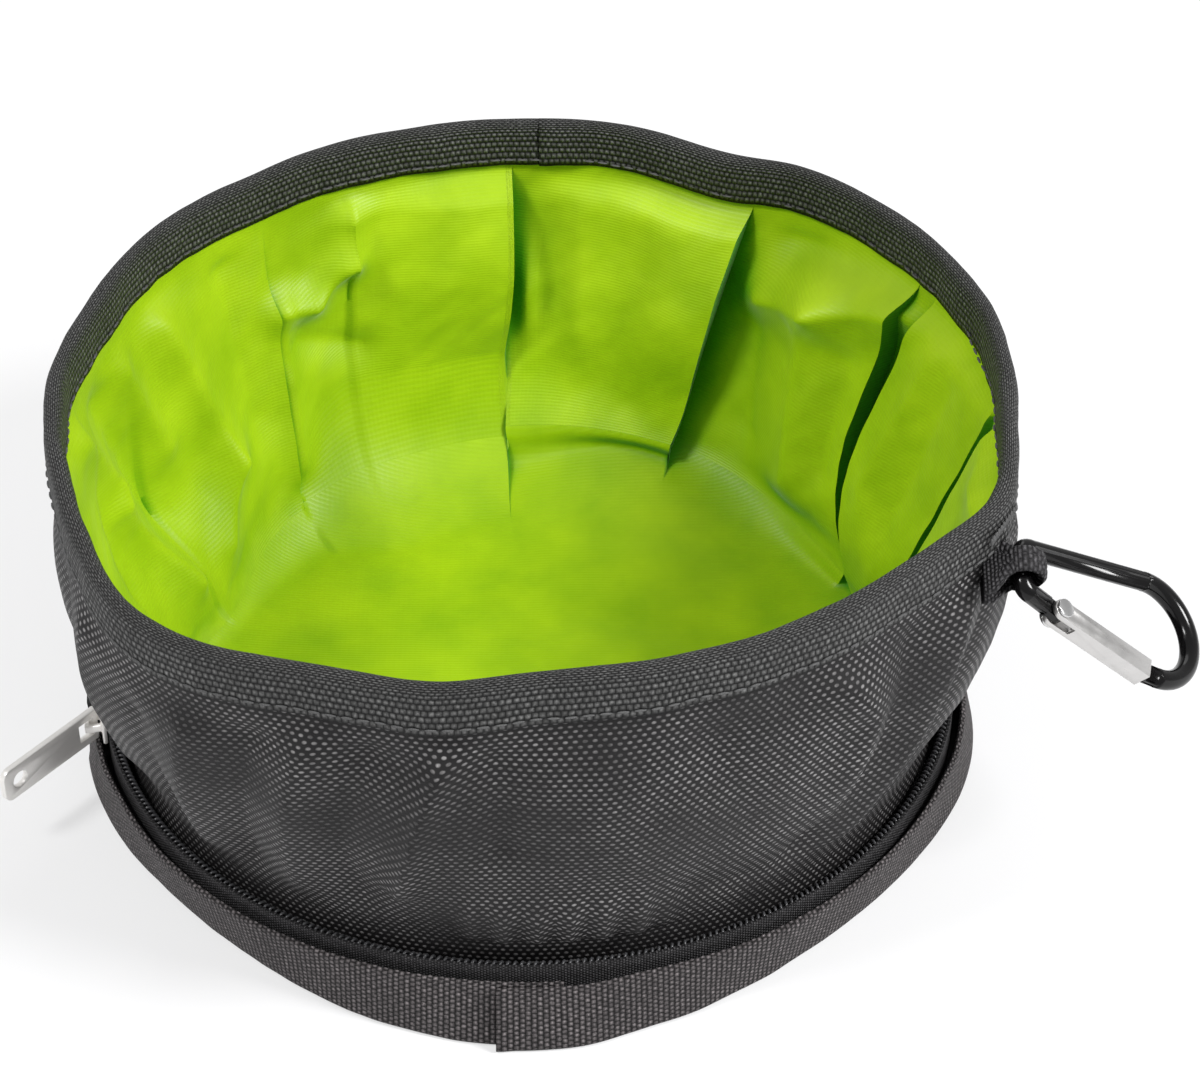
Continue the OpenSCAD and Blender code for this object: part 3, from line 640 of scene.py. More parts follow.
def studio_light():
    soft_lamp("key lamp", (0.95, -0.38, 1.0), 0.45, 19.0)
    soft_lamp("left lamp", (-0.75, -0.4, 1.1), 0.32, 9.0)
    soft_lamp("rear lamp", (0.1, 1.3, 1.1), 0.9, 3.0)
    world = bpy.data.worlds.new("studio")
    bpy.context.scene.world = world
    world.use_nodes = True
    sky = world.node_tree.nodes["Background"].inputs
    sky["Color"].default_value = (1, 1, 1, 1)
    sky["Strength"].default_value = SKY_LIGHT


bpy.context.scene.view_settings.view_transform = "Standard"
look_from_the_front()
pale_floor()
studio_light()


# Lining. Its creases are in the order of their angles. Each has its angle at the floor,
# halfway and at the rim; how far in the cloth stands there on the side of smaller angles and
# on that of larger angles, at the same three heights; and on each side the radius and height
# of the corner between wall and floor, and how far that corner is rounded
LINING_CREASES = (
    ((12, 8, -4), (4, 6, 3), (-1, -1.5, 0), (94, 7, 6), (94, 7, 6)),
    ((17, 12, -1), (-1, -1.5, 0), (2, 4, 2), (94, 7, 6), (94, 7, 6)),
    ((23, 31, 24), (4, 7, 4), (-1, -2, -0.5), (95, 8, 5), (96, 10, 6)),
    ((28, 35, 28), (-1, -2, -0.5), (3, 6.5, 4), (96, 10, 6), (96, 11, 8)),
    ((67, 64, 58), (-1, -2.5, -0.5), (9, 11, 5), (98, 17, 12), (101, 24, 10)),
    ((95, 94.5, 94), (5, -2.5, -2), (0.5, 9, 5), (99, 24, 12), (97, 17, 26)),
    ((119, 118, 117), (0.3, 1.2, 0.8), (0, 0, 0), (97, 15, 26), (97, 15, 26)),
    ((132, 131, 130), (0, 0, 0), (1.5, 3, 1), (96, 13, 18), (95, 13, 14)),
    ((160, 161, 163), (1, 1, 0), (0.5, 0, 0), (85, 8, 6), (85, 8, 6)),
    ((176, 177, 178), (0, 0, 0), (0, 0.8, 0.5), (88, 7, 6), (88, 7, 6)),
    ((203, 204, 205), (1, 2, 0), (1, 2, 0), (93, 6.5, 5), (93, 6.5, 5)),
    ((238, 239, 240), (0, 1, 0), (1, 3, 0), (93, 6.5, 5), (93, 6.5, 5)),
    ((276, 275, 275), (1, 2, 0), (0, 1, 0), (93, 6.5, 5), (93, 6.5, 5)),
    ((312, 311, 310), (0, 1, 0), (1, 3, 0), (93, 6.5, 5), (93, 6.5, 5)),
    ((338, 336, 335), (2, 3, 0), (1, 1, 0), (93, 6.5, 5), (93, 6.5, 5)),
)
# Soft folds within the panels: a path as angle and height, how far in the cloth stands there
# and how far to each side the fold spreads
SOFT_FOLDS = (
    (((153, 93), (145, 42)), 4.6, 7), (((145, 42), (152, 24)), 3.4, 6),
    (((164, 92), (157, 56)), 3.4, 6), (((181, 90), (171, 62)), 4.0, 6),
    (((172, 56), (163, 24)), 4.4, 5), (((129, 69), (130, 24)), 3.2, 5),
    (((117, 93), (118, 76)), 4.2, 4.5), (((118, 76), (124, 67)), 3.6, 4),
    (((124, 67), (130, 69)), 3, 4), (((126, 56), (117, 50)), -2.6, 5),
    (((138, 86), (137, 44)), -2.6, 7), (((169, 82), (161, 40)), -2.6, 6),
    (((56, 70), (44, 77)), 5.0, 7), (((44, 77), (30, 86)), 4.4, 7),
    (((52, 88), (38, 92)), -2.4, 6), (((47, 70), (45, 26)), 3.6, 10),
    (((57, 58), (56, 30)), -2.6, 7), (((38, 64), (38, 34)), -2.6, 6),
    (((104, 66), (108, 30)), 1.6, 12), (((84, 86), (84, 50)), 1.6, 9),
    (((74, 70), (80, 40)), -1.8, 12), (((15, 80), (20, 36)), -1.8, 7),
    (((20, 84), (27, 40)), 1.6, 6), (((192, 88), (186, 40)), -2.4, 6),
    (((200, 88), (196, 40)), 2.6, 7), (((352, 84), (2, 40)), 2.6, 8),
)
# Angle of the lining's seam, where its columns start, and half the width of an open crease
SEAM_TURN = 94
FOLD_HALF_TURN = 0.3
# Degrees by which a crease's two sides reach over each other, for each millimetre of step
FOLD_OVERLAP = 0.09
LINING_COLUMNS = 400
LINING_ROWS, FLOOR_ROWS = 84, 40
# The lining's wall as height and radius, and its radius at half height
LINING_PROFILE = (
    (6, 93.0), (18, 94.5), (25.5, 96), (40.5, 100.8), (59, 105), (78, 107.5), (93, 108.9),
    (107, 108.9),
)
LINING_MID_R = 105
# How clear the lining stays of the outer cloth, and over what depth it eases into that
LINING_CLEAR = 1.5
LIMIT_EASE = 0.35
FLOOR_Z = 4.2
FLOOR_EDGE_R = 93
FLOOR_RING_R = 88
# Shares of the wall's and the floor's rows that go to the rounding between them
WALL_FOOT_SHARE = 0.14
FLOOR_FOOT_SHARE = 0.22
# Panels pull flat by this share of their bow, and by no more than this many millimetres
FLAT_SHARE, FLAT_MOST = 0.6, 5
FEWEST_COLUMNS = 6


def next_crease(k):
    return LINING_CREASES[(k + 1) % len(LINING_CREASES)]


def lining_columns():
    """Columns that follow the creases: for each, the panel it lies on and its share of the
    way across that panel."""
    panels = len(LINING_CREASES)
    first = [c[0][2] for c in LINING_CREASES].index(SEAM_TURN)
    found = []
    for step in range(panels):
        k = (first + step) % panels
        start = LINING_CREASES[k][0][2]
        wide = (next_crease(k)[0][2] - start) % 360
        count = max(FEWEST_COLUMNS, round(LINING_COLUMNS * wide / 360))
        found += [(k, j / count) for j in range(count + 1)]
    return found + [(first, 0.0)]


COLUMNS_ROUND = lining_columns()


def crease_turn(crease, rise):
    return along(((0, crease[0][0]), (0.35, crease[0][1]), (1, crease[0][2])), rise)


def crease_side(crease, side, rise):
    low, middle, high = crease[1 + side]
    return along(((0, low), (0.45, middle), (0.84, high), (1, high)), rise)


def crease_gap(crease, rise):
    """Degrees from the crease to either side's edge; below zero the sides overlap."""
    step = abs(crease_side(crease, 0, rise) - crease_side(crease, 1, rise))
    return FOLD_HALF_TURN - FOLD_OVERLAP * step


def lining_turn(k, share, rise, inward=0.0):
    """Angle of a column at one rise, from 0 at the floor to 1 at the rim; on the floor the
    creases' overlap is gone where inward reaches 1."""
    here, there = LINING_CREASES[k], next_crease(k)
    start = crease_turn(here, rise)
    wide = (crease_turn(there, rise) - start) % 360
    near, far = (
        gap + (FOLD_HALF_TURN - gap) * inward
        for gap in (crease_gap(here, rise), crease_gap(there, rise))
    )
    return start + near + (wide - near - far) * share, wide


def lining_foot(k, share):
    """Radius, height and rounding of the corner between wall and floor at a column."""
    here, there = LINING_CREASES[k][4], next_crease(k)[3]
    t = smooth(0, 1, share)
    return tuple(a + (b - a) * t for a, b in zip(here, there))


def lining_wrinkles(turn, z):
    """Soft wrinkles, sharper ridges and the pucker beside the seam."""
    across = LINING_MID_R * math.radians(turn)
    soft = 0.8 * ripple(across, 0.5 * z, 3, 17) + 0.35 * ripple(across + z, 0.5 * z, 8, 7)
    ridge = 0.8 * (0.3 - abs(ripple(across + 0.3 * z, 0.4 * z, 20, 15)))
    pucker = 3.5 * bump(turn, SEAM_TURN - 2.4, 1.5) * math.exp(-(((z - 60) / 12) ** 2))
    return soft + ridge + pucker


def lining_inward(k, share, rise, z, turn, wide):
    """How far in the cloth stands: between the creases it pulls flat, and wrinkles a little."""
    here, there = LINING_CREASES[k], next_crease(k)
    a, b = crease_side(here, 1, rise), crease_side(there, 0, rise)
    fold = a + (b - a) * smooth(0, 1, share)
    bow = min(FLAT_MOST, LINING_MID_R * (1 - math.cos(math.radians(wide / 2))))
    taut = smooth(0.05, 0.35, rise) * (1 - smooth(0.72, 0.88, rise))
    flat = FLAT_SHARE * bow * 4 * share * (1 - share) * taut
    free = smooth(0, 0.12, rise) * (1 - smooth(0.78, 0.88, rise))
    loose = (fold_relief(SOFT_FOLDS, turn, z, 100) + lining_wrinkles(turn, z)) * free
    under_binding = 1 - smooth(BINDING_FOOT_Z - 9, BINDING_FOOT_Z - 0.5, z)
    return (fold + flat + loose) * under_binding


def floor_height(radius, turn):
    """The floor is dished, and its edge stands higher under the wide panel at the back."""
    edge, dish = 8 + 12 * bump(turn, 78, 26), 3.4
    return FLOOR_Z + (edge - FLOOR_Z) * (radius / FLOOR_EDGE_R) ** dish


def lining_wall_radius(z, corner_r, corner_z):
    """Starts at the column's own corner and has joined the profile 40 mm above it."""
    off = corner_r - along(LINING_PROFILE, corner_z)
    return along(LINING_PROFILE, z) + off * (1 - smooth(corner_z, corner_z + 40, z))


def kept_inside(radius, turn, z):
    """Keeps the lining clear of the outer cloth, easing into it."""
    limit = along(WALL_PROFILE, z) + wall_relief(turn, z) - LINING_CLEAR
    over, far_over = (radius - limit) / LIMIT_EASE, 20
    return radius - LIMIT_EASE * (over if over > far_over else math.log1p(math.exp(over)))


def rounded_corner(k, share, turn, t):
    """A point on the rounding between floor, at t = 0, and wall, at t = 1."""
    corner_r, corner_z, rounding = lining_foot(k, share)
    low_r = corner_r - rounding
    low_z = floor_height(low_r, turn)
    high_z = corner_z + rounding
    high_r = lining_wall_radius(high_z, corner_r, corner_z)
    parts = (1 - t) ** 2, 2 * t * (1 - t), t * t
    return (
        parts[0] * low_r + parts[1] * corner_r + parts[2] * high_r,
        parts[0] * low_z + parts[1] * corner_z + parts[2] * high_z,
    )


def lining_wall_point(column, rise):
    k, share = COLUMNS_ROUND[column]
    turn, wide = lining_turn(k, share, rise)
    corner_r, corner_z, rounding = lining_foot(k, share)
    if rise < WALL_FOOT_SHARE:
        r, z = rounded_corner(k, share, turn, 0.5 + 0.5 * rise / WALL_FOOT_SHARE)
    else:
        low_z = corner_z + rounding
        z = low_z + (CLOTH_TOP_Z - low_z) * (rise - WALL_FOOT_SHARE) / (1 - WALL_FOOT_SHARE)
        r = lining_wall_radius(z, corner_r, corner_z)
    r = kept_inside(r - lining_inward(k, share, rise, z, turn, wide), turn, z)
    return ring_point(turn, r, z, along(WALL_FOLLOW, z))


def lining_floor_point(column, inward):
    """A point of the floor; inward runs from 0 at the wall to 1 at the middle."""
    k, share = COLUMNS_ROUND[column]
    free = smooth(0, FLOOR_FOOT_SHARE, inward)
    turn, wide = lining_turn(k, share, 0, free)
    corner_r, corner_z, rounding = lining_foot(k, share)
    fold = lining_inward(k, share, 0, corner_z, turn, wide) * (1 - free)
    if inward < FLOOR_FOOT_SHARE:
        r, z = rounded_corner(k, share, turn, 0.5 - 0.5 * inward / FLOOR_FOOT_SHARE)
    else:
        edge = corner_r - rounding
        edge += (FLOOR_RING_R - edge) * smooth(FLOOR_FOOT_SHARE, 0.6, inward)
        r = edge * (1 - inward) / (1 - FLOOR_FOOT_SHARE)
        z = floor_height(r, turn)
    r = kept_inside(r - fold, turn, z)
    x, y = in_turns(turn)
    crinkle = 0.5 * ripple(r * x, r * y, 0, 30) + 0.25 * ripple(r * x, r * y, 5, 11)
    return r * x, r * y, z + (0.35 + crinkle) * free


def column_number(a):
    return round(a * (len(COLUMNS_ROUND) - 1))


def column_along(a):
    """Distance round the cloth at a column, in millimetres."""
    k, share = COLUMNS_ROUND[column_number(a)]
    turn = lining_turn(k, share, 0.5)[0] - SEAM_TURN - 0.5
    turn = turn % 360 if a < 0.999 else 360
    return LINING_MID_R * math.radians(turn)


def make_lining_part(name, node, rows, place, texture):
    columns = len(COLUMNS_ROUND) - 1
    obj = cloth_grid(name, columns, rows, place, texture, thick=LINING_T, angle=CREASE_ANGLE)
    return settle(obj, LINING, node)


def make_lining_wall():
    slope = 100

    def place(a, b):
        return lining_wall_point(column_number(a), 1 - b)

    def texture(a, b):
        return column_along(a), slope * (1 - b)

    obj = make_lining_part("lining_wall_cloth", "lining_wall", LINING_ROWS, place, texture)
    press_with_rim(obj)


# Height at which the outer cloth is cut into its upper piece and its foot: where the cloth's
# top edge lies once the rim is pressed down, just inside the binding's lower edge.
PRESSED_TO_Z = 22


def press_with_rim(obj):
    """Rides on the bowl, with a mesh of its own."""
    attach(obj, "bowl")
    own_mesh(obj)


def make_lining_floor():
    def place(a, b):
        return lining_floor_point(column_number(a), b)

    def texture(a, b):
        return place(a, b)[:2]

    obj = make_lining_part("lining_floor_cloth", "lining_floor", FLOOR_ROWS, place, texture)
    press_with_rim(obj)


# Outer cloth: height and radius, then height and how much it follows the rim's shape
WALL_PROFILE = (
    (1.2, 96.3), (13.9, 100.1), (22.3, 100.2), (37.1, 105.0), (56.9, 110.4), (76.7, 112.4),
    (93, 110.5), (106.5, 110.5),
)
WALL_FOLLOW = ((22.3, 0), (37.1, 0.15), (56.9, 0.4), (76.7, 0.7), (93, 1), (106.5, 1))
# Folds of the outer cloth: a path as angle and height, how far out the cloth stands there
# (inwards below zero) and how far to each side the fold spreads
WALL_FOLDS = (
    (((262, 92), (259, 70), (256, 44)), 4.2, 3.6), (((253, 88), (249, 52), (250, 30)), -2.8, 7),
    (((267, 90), (268, 60)), -2.6, 6), (((247, 94), (243, 60), (241, 28)), 2.4, 6),
    (((239, 84), (234, 30)), -2.8, 6), (((231, 82), (227, 28)), 2.4, 5.5),
    (((222, 74), (219, 28)), -2.6, 6), (((212, 84), (208, 30)), 2.2, 6),
    (((202, 78), (199, 30)), -2.2, 6), (((292, 80), (297, 56)), -2.6, 12),
    (((278, 70), (284, 50)), 1.4, 12), (((306, 92), (312, 74), (309, 46)), 3.0, 6),
    (((319, 90), (317, 60), (306, 34)), -2.8, 6), (((327, 86), (322, 54), (313, 30)), 2.6, 5.5),
    (((336, 90), (331, 54), (322, 30)), -3.2, 6), (((345, 84), (339, 40)), 2.2, 7),
    (((357, 86), (351, 36)), -2.6, 8), (((290, 36), (300, 32)), -1.6, 6),
    (((10, 84), (6, 36)), 2.0, 9), (((30, 84), (26, 36)), -2.0, 10),
    (((62, 84), (58, 36)), 1.8, 9), (((84, 84), (88, 36)), -2.2, 10),
    (((116, 84), (120, 36)), 2.0, 10), (((146, 84), (142, 36)), -2.2, 9),
    (((170, 84), (174, 36)), 1.8, 9), (((186, 84), (188, 36)), -1.8, 7),
)
# The cloth hangs over the zip at the front, from one angle to the other
OVERHANG_FROM, OVERHANG_TO = 258, 292
OVERHANG = 3.4
WALL_COLUMNS = 360
WALL_LOW_Z = 1.2
# Length round the wall and up it, the second for each millimetre of height
WALL_ROUND, WALL_SLOPE = 690, 1.064

# Half the width of a fold's rounded crest, and how far round a fold is looked for
FOLD_CREST = 0.8
FOLD_REACH = 34


def fold_relief(paths, turn, z, radius):
    """Sum of folds at one place of a round wall: crisp at the crest, eased at the foot."""
    total = 0.0
    scale = math.radians(radius)
    for path, high, spread in paths:
        if abs(turn_from(turn, path[0][0])) > FOLD_REACH:
            continue
        nearest = math.inf
        for (turn0, z0), (turn1, z1) in zip(path, path[1:]):
            run, up = (turn1 - turn0) * scale, z1 - z0
            dx, dz = turn_from(turn, turn0) * scale, z - z0
            t = min(1, max(0, (dx * run + dz * up) / (run * run + up * up)))
            nearest = min(nearest, math.hypot(dx - t * run, dz - t * up))
        away = math.hypot(nearest, FOLD_CREST) - FOLD_CREST
        total += high * max(0, 1 - away / (2 * spread)) ** 2
    return total


def wall_relief(turn, z):
    """Folds, puckers and wrinkles of the outer cloth, in millimetres outwards."""
    turn %= 360
    free = smooth(24, 36, z) * (1 - smooth(84, 93, z))
    mid_r, pucker_pitch = 110, 8
    across = mid_r * math.radians(turn)
    crinkle = 0.9 * ripple(across, 0.6 * z, 2, 24) + 0.35 * ripple(across, 0.8 * z, 6, 9)
    window = smooth(OVERHANG_FROM, OVERHANG_FROM + 10, turn)
    window *= 1 - smooth(OVERHANG_TO - 8, OVERHANG_TO, turn)
    wave = across * 2 * math.pi / pucker_pitch + 2 * ripple(across, 0, 3, 20)
    pucker = 0.72 + 0.28 * math.sin(wave)
    hang = smooth(22.2, 26, z) * (1 - smooth(32, 46, z)) * window * pucker
    return free * (fold_relief(WALL_FOLDS, turn, z, 105) + crinkle) + OVERHANG * hang


def make_wall_part(name, low_z, high_z, rows):
    def height(b):
        return low_z + (high_z - low_z) * b

    def place(a, b):
        turn, z = SEAM_SIDE + 360 * a, height(b)
        r = along(WALL_PROFILE, z) + wall_relief(turn, z)
        return ring_point(turn, r, z, along(WALL_FOLLOW, z))

    def texture(a, b):
        return WALL_ROUND * a, WALL_SLOPE * height(b)

    obj = cloth_grid(name, WALL_COLUMNS, rows, place, texture, WALL_T, CREASE_ANGLE)
    return settle(obj, DOTTED, "outer_wall")


def make_outer_wall():
    """Two pieces, both riding on the bowl: the upper one and the one that stands in the pouch."""
    obj = make_wall_part("outer_wall_cloth", PRESSED_TO_Z, CLOTH_TOP_Z, rows=62)
    press_with_rim(obj)
    foot = make_wall_part("outer_wall_foot", WALL_LOW_Z, PRESSED_TO_Z, rows=14)
    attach(foot, "bowl")


# Binding: folded over the rim from the inside, as radius and height before the rim's shape
BINDING_PATH = (
    (107.7, 95.5), (107.5, 101), (107.6, 105.4), (108.3, 107.3), (109.7, 108.0),
    (111.1, 107.4), (111.8, 105.6), (112.0, 101), (111.9, 95.5),
)
# The webbing's width with its thickness at the fold, and its length
BINDING_WIDE, BINDING_LONG = 29, 700


def on_path(path, share):
    """Radius and height on a smooth curve through evenly spaced points."""
    place = share * (len(path) - 1)
    return tuple(along(tuple((k, p[n]) for k, p in enumerate(path)), place) for n in (0, 1))


def binding_point(turn, share, lift=0.0):
    """A point on the binding's face, from its inner to its outer lower edge, with small
    lumps, a looser inner side and uneven edges."""
    r, z = on_path(BINDING_PATH, share)
    outward = math.cos(math.pi * (1 - share))
    ease = 0.35 * ripple(turn, 4 * share, 1, 5.5) + 0.25 * ripple(turn, 9 * share, 7, 2.4)
    ease += 0.9 * ripple(turn, 6 * share, 12, 9) * (1 - smooth(0.35, 0.7, share))
    at_edge = share < 0.1 or share > 0.9
    hem = 0.35 * ripple(turn, 30 * round(share), 5, 4) if at_edge else 0
    return ring_point(turn, r + (ease + lift) * outward, z + hem, 1)


def make_binding():
    def place(a, b):
        return binding_point(SEAM_SIDE + 360 * a, 1 - b)

    def texture(a, b):
        return BINDING_WIDE * b, BINDING_LONG * a

    columns, rows = 420, 24
    obj = cloth_grid("rim_binding_webbing", columns, rows, place, texture, thick=BINDING_T)
    settle(obj, BINDING_FINISH, "rim_binding", "rim")


def copies_of(pattern, name, places):
    """Copies one small piece to each place, joins them and drops the pattern."""
    made = []
    for spot in places:
        copy = pattern.copy()
        copy.data = pattern.data.copy()
        copy.data.transform(spot)
        bpy.context.scene.collection.objects.link(copy)
        made.append(copy)
    bpy.data.objects.remove(pattern)
    deselect()
    for copy in made:
        copy.select_set(True)
    bpy.context.view_layer.objects.active = made[0]
    bpy.ops.object.join()
    joined = bpy.context.object
    joined.name = name
    joined.data.name = name
    smooth_piece(joined, 60)
    return joined


def stitch_pattern(length, wide, high):
    """One stitch lying along X, sunk to half its height, in millimetres."""
    deselect()
    bpy.ops.mesh.primitive_uv_sphere_add(segments=8, ring_count=5, radius=0.5)
    stitch = bpy.context.object
    turn = Matrix.Rotation(math.pi / 2, 4, "Y")
    size = Matrix.Diagonal((length * MM, wide * MM, high * MM, 1))
    stitch.data.transform(size @ turn)
    return stitch


def frame_at(point, ahead, outward):
    """Place whose X runs along the seam and whose Z stands off the cloth."""
    x = (Vector(ahead) - Vector(point)).normalized()
    z = Vector(outward)
    z = (z - x * z.dot(x)).normalized()
    y = z.cross(x)
    spot = Matrix((x, y, z)).transposed().to_4x4()
    spot.translation = Vector(point) * MM
    return spot


# Degrees from stitch to stitch, the two rows' shares of the binding's width and how far the
# thread stands off it
STITCH_PITCH_TURN = 1.85
STITCH_SHARES = (0.035, 0.965)
STITCH_LIFT = 0.1


def make_rim_stitching():
    places = []
    count, ahead_turn = round(360 / STITCH_PITCH_TURN), 0.6
    for share in STITCH_SHARES:
        side = 1 if share > 0.5 else -1
        for number in range(count):
            turn = number * 360 / count
            here = binding_point(turn, share, STITCH_LIFT)
            ahead = binding_point(turn + ahead_turn, share, STITCH_LIFT)
            x, y = in_turns(turn)
            places.append(frame_at(here, ahead, (side * x, side * y, 0)))
    obj = copies_of(stitch_pattern(length=2.7, wide=0.6, high=0.7), "rim_stitches", places)
    settle(obj, THREAD_FINISH, "rim_stitching", "rim")


# Pouch. Its foot stands out at the front, back and sides, and in between those it stands in
FOOT_FLARE = 3.4


def foot_flare(turn, z):
    """How far the pouch stands out at one angle, which dies away towards its top edge."""
    return FOOT_FLARE * math.cos(math.radians(4 * turn)) * max(0, 1 - z / BAND_H)


def webbing_section(share, wide, thick):
    """A point of the webbing's rounded section: depth behind its face, height on it and
    distance round it."""
    edge = thick / 2
    run = wide - 2 * edge
    total = 2 * run + 2 * math.pi * edge
    d = share % 1 * total
    if d < run:
        return 0.0, edge + d, edge + d
    d -= run
    if d < math.pi * edge:
        turn = d / edge
        return edge - edge * math.cos(turn), wide - edge + edge * math.sin(turn), wide - edge + d
    d -= math.pi * edge
    if d < run:
        return thick, wide - edge - d, wide + math.pi * edge - edge + d
    d -= run
    turn = d / edge
    mid = 2 * (wide - edge) + math.pi * edge
    return thick - edge + edge * math.cos(turn), edge - edge * math.sin(turn), mid + d


# Millimetres round the pouch for each degree, on the webbing and on the other strips
BAND_MM_TURN, STRIP_MM_TURN = 1.88, 1.85
# Strips are smooth across edges up to this angle
STRIP_ANGLE = 50


def clear_of_pull(turn):
    """0 near either end of the zip, where the pull lies on the webbing, and 1 between them."""
    return smooth(196, 206, turn) * (1 - smooth(336, 346, turn))


def band_top(turn):
    """Height of the webbing's top edge, lower where the zip pull lies at either end."""
    return BAND_H - 1.1 + 2.5 * clear_of_pull(turn)


def band_wave(turn, z):
    """Gentle waves of the webbing's face, flatter where the pull lies on it."""
    wave = 0.5 * ripple(1.9 * turn, z, 4, 16) + 0.25 * ripple(1.9 * turn, z, 9, 6)
    return wave * (0.1 + 0.5 * clear_of_pull(turn))


def make_band(name, node, start, end, path):
    """Webbing round the pouch from start to end; path gives its radius and lowest height."""
    columns, rows = round((end - start) * 1.3), 30

    def place(a, b):
        turn = start + (end - start) * a
        depth, height = webbing_section(b, BAND_H, BAND_T)[:2]
        outer, low = path(turn)
        height = low + height * (band_top(turn) - low) / BAND_H
        r = outer + foot_flare(turn, height) - depth
        r += band_wave(turn, height) if depth < BAND_T / 2 else 0
        x, y = in_turns(turn)
        lift = 0.3 * ripple(turn, 2, 2, 7) * smooth(4, 15, height) * clear_of_pull(turn)
        return r * x, r * y, height + lift

    def texture(a, b):
        turn = start + (end - start) * a
        return BAND_MM_TURN * turn, webbing_section(b, BAND_H, BAND_T)[2]

    obj = cloth_grid(name, columns, rows, place, texture, angle=STRIP_ANGLE)
    close_ends(obj)
    settle(obj, BAND_FINISH, node, "tray")


LAP_FROM, LAP_TO, BAND_SPLIT = 267, 277, 275


def lap_path(turn):
    """The right half swings out over the end of the left half."""
    over = smooth(LAP_TO + 9, LAP_TO - 1, turn)
    end_curl = 0.5 * smooth(LAP_FROM + 2.5, LAP_FROM, turn)
    return FOOT_R + (BAND_T + 0.2) * over + end_curl, 0.0


def upright_strip(
    name, node, finish, body, start, end, path, thick, wide,
    rows=8, flared=False,
):
    """A sheet standing round the pouch: path lists its radius and height from low to high.
    Laid flat it is as long as its arc at mid_r, and wide millimetres across."""
    columns = round((end - start) * 1.2)

    def place(a, b):
        turn = start + (end - start) * a
        x, y = in_turns(turn)
        r, z = on_path(path, b)
        r += foot_flare(turn, z) if flared else 0
        return r * x, r * y, z

    def texture(a, b):
        return STRIP_MM_TURN * (end - start) * a, wide * b

    obj = cloth_grid(name, columns, rows, place, texture, thick=thick, angle=STRIP_ANGLE)
    settle(obj, finish, node, body)
    return obj


def make_zip_tape():
    upright_strip(
        "pouch_zip_tape", "tray_zip_tape", TAPE_FINISH, "tray", 186.2, 363,
        ((TAPE_R, 7), (TAPE_R, 13), (TAPE_R, 19)), TAPE_T, wide=12,
    )


COIL_PITCH = 1.55


def make_coil(name, node, body, start, end, mid_r, z, wire_r, loop_r):
    """Zip teeth: one wire wound along the tape's edge."""
    turns = round(math.radians(end - start) * mid_r / COIL_PITCH)
    columns, sides = turns * 9, 5

    def place(a, b):
        wind = 2 * math.pi * turns * a
        along_turn = start + (end - start) * a
        x, y = in_turns(along_turn)
        inner = loop_r - wire_r
        ring = (math.cos(wind), math.sin(wind))
        around = 2 * math.pi * b
        swell = inner + wire_r * math.cos(around)
        side = wire_r * math.sin(around)
        r = mid_r + swell * ring[0]
        return (r * x - side * y, r * y + side * x, z + swell * ring[1])

    def texture(a, b):
        return a, b

    obj = cloth_grid(name, columns, sides, place, texture)
    close_ends(obj)
    smooth_piece(obj, 180)
    settle(obj, TEETH_FINISH, node, body)


def make_rear_cloth():
    upright_strip(
        "rear_cloth", "rear_panel", BLACK_CLOTH, "tray", 3.2, 187.8,
        ((107.0, 0.0), (107.5, 5), (108.4, 12), (109.0, 18.25)), thick=0.9,
        wide=18.4, rows=10, flared=True,
    )


def make_joining_strip():
    """Strip that joins the bowl to the pouch, from the rear cloth's top edge inwards."""
    low_z, high_z = 18.4, 20.6
    obj = upright_strip(
        "joining_strip", "hinge_gusset", BLACK_CLOTH, None, 5, 186,
        ((109.0, low_z), (107.0, 19.4), (104, 20.1), (100.9, high_z)), thick=0.7,
        wide=10.5,
    )
    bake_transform(obj)


def make_disc(name, node, body, radius, z, thick, flared=False):
    """A round sheet lying flat, a little uneven."""
    columns, rows = 144, 24

    def place(a, b):
        x, y = in_turns(360 * a)
        edge = radius + (foot_flare(360 * a, z) if flared else 0)
        r = edge * (1 - b)
        return r * x, r * y, z + thick + 0.12 * ripple(r * x, r * y, 0, 18) * smooth(0, 0.1, b)

    def texture(a, b):
        x, y = in_turns(360 * a)
        return radius * (1 - b) * x, radius * (1 - b) * y

    obj = cloth_grid(name, columns, rows, place, texture, thick=thick, angle=60)
    settle(obj, BLACK_CLOTH, node, body)


def make_hem_zip():
    """The bowl's half of the zip, sewn round its hem inside the pouch."""
    start, end = 197, 353
    upright_strip(
        "hem_zip_tape_cloth", "hem_zip_tape", TAPE_FINISH, "bowl", start, end,
        ((97.9, 3.4), (98.0, 5), (98.9, 8), (100.0, 11.5)), thick=0.5, wide=10.5,
    )
    make_coil(
        "hem_zip_teeth", "hem_zip_coil", "bowl", start, end, mid_r=98.9, z=3.3,
        wire_r=0.32, loop_r=0.9,
    )


# Carabiner loop: a doubled length of webbing, gathered round the carabiner's narrow bar.
# In its own frame +X points away from the bowl and +Y lies along the bar
LOOP_TURN, LOOP_ROLL = -27.5, 22
LOOP_REACH, LOOP_Z = 122.2, 92.5
LOOP_WIDE, LOOP_NECK = 15, 5.2
LOOP_THICK, LOOP_EYE_R = 1.3, 2.65
# How far each end runs in to the binding, and half the distance between the two ends
LOOP_TAIL, LOOP_ENDS = 8.6, 1.5
PLEAT_HIGH, PLEATS = 0.45, 3


def at_loop():
    """The bar's place at rest, where the carabiner hangs in the loop."""
    x, y = in_turns(LOOP_TURN)
    spot = Matrix.Rotation(math.radians(LOOP_ROLL), 4, "X")
    spot.translation = Vector(
        (RIM_SHIFT + LOOP_REACH * x, RIM_SHIFT + LOOP_REACH * y, LOOP_Z)
    ) * MM
    return spot


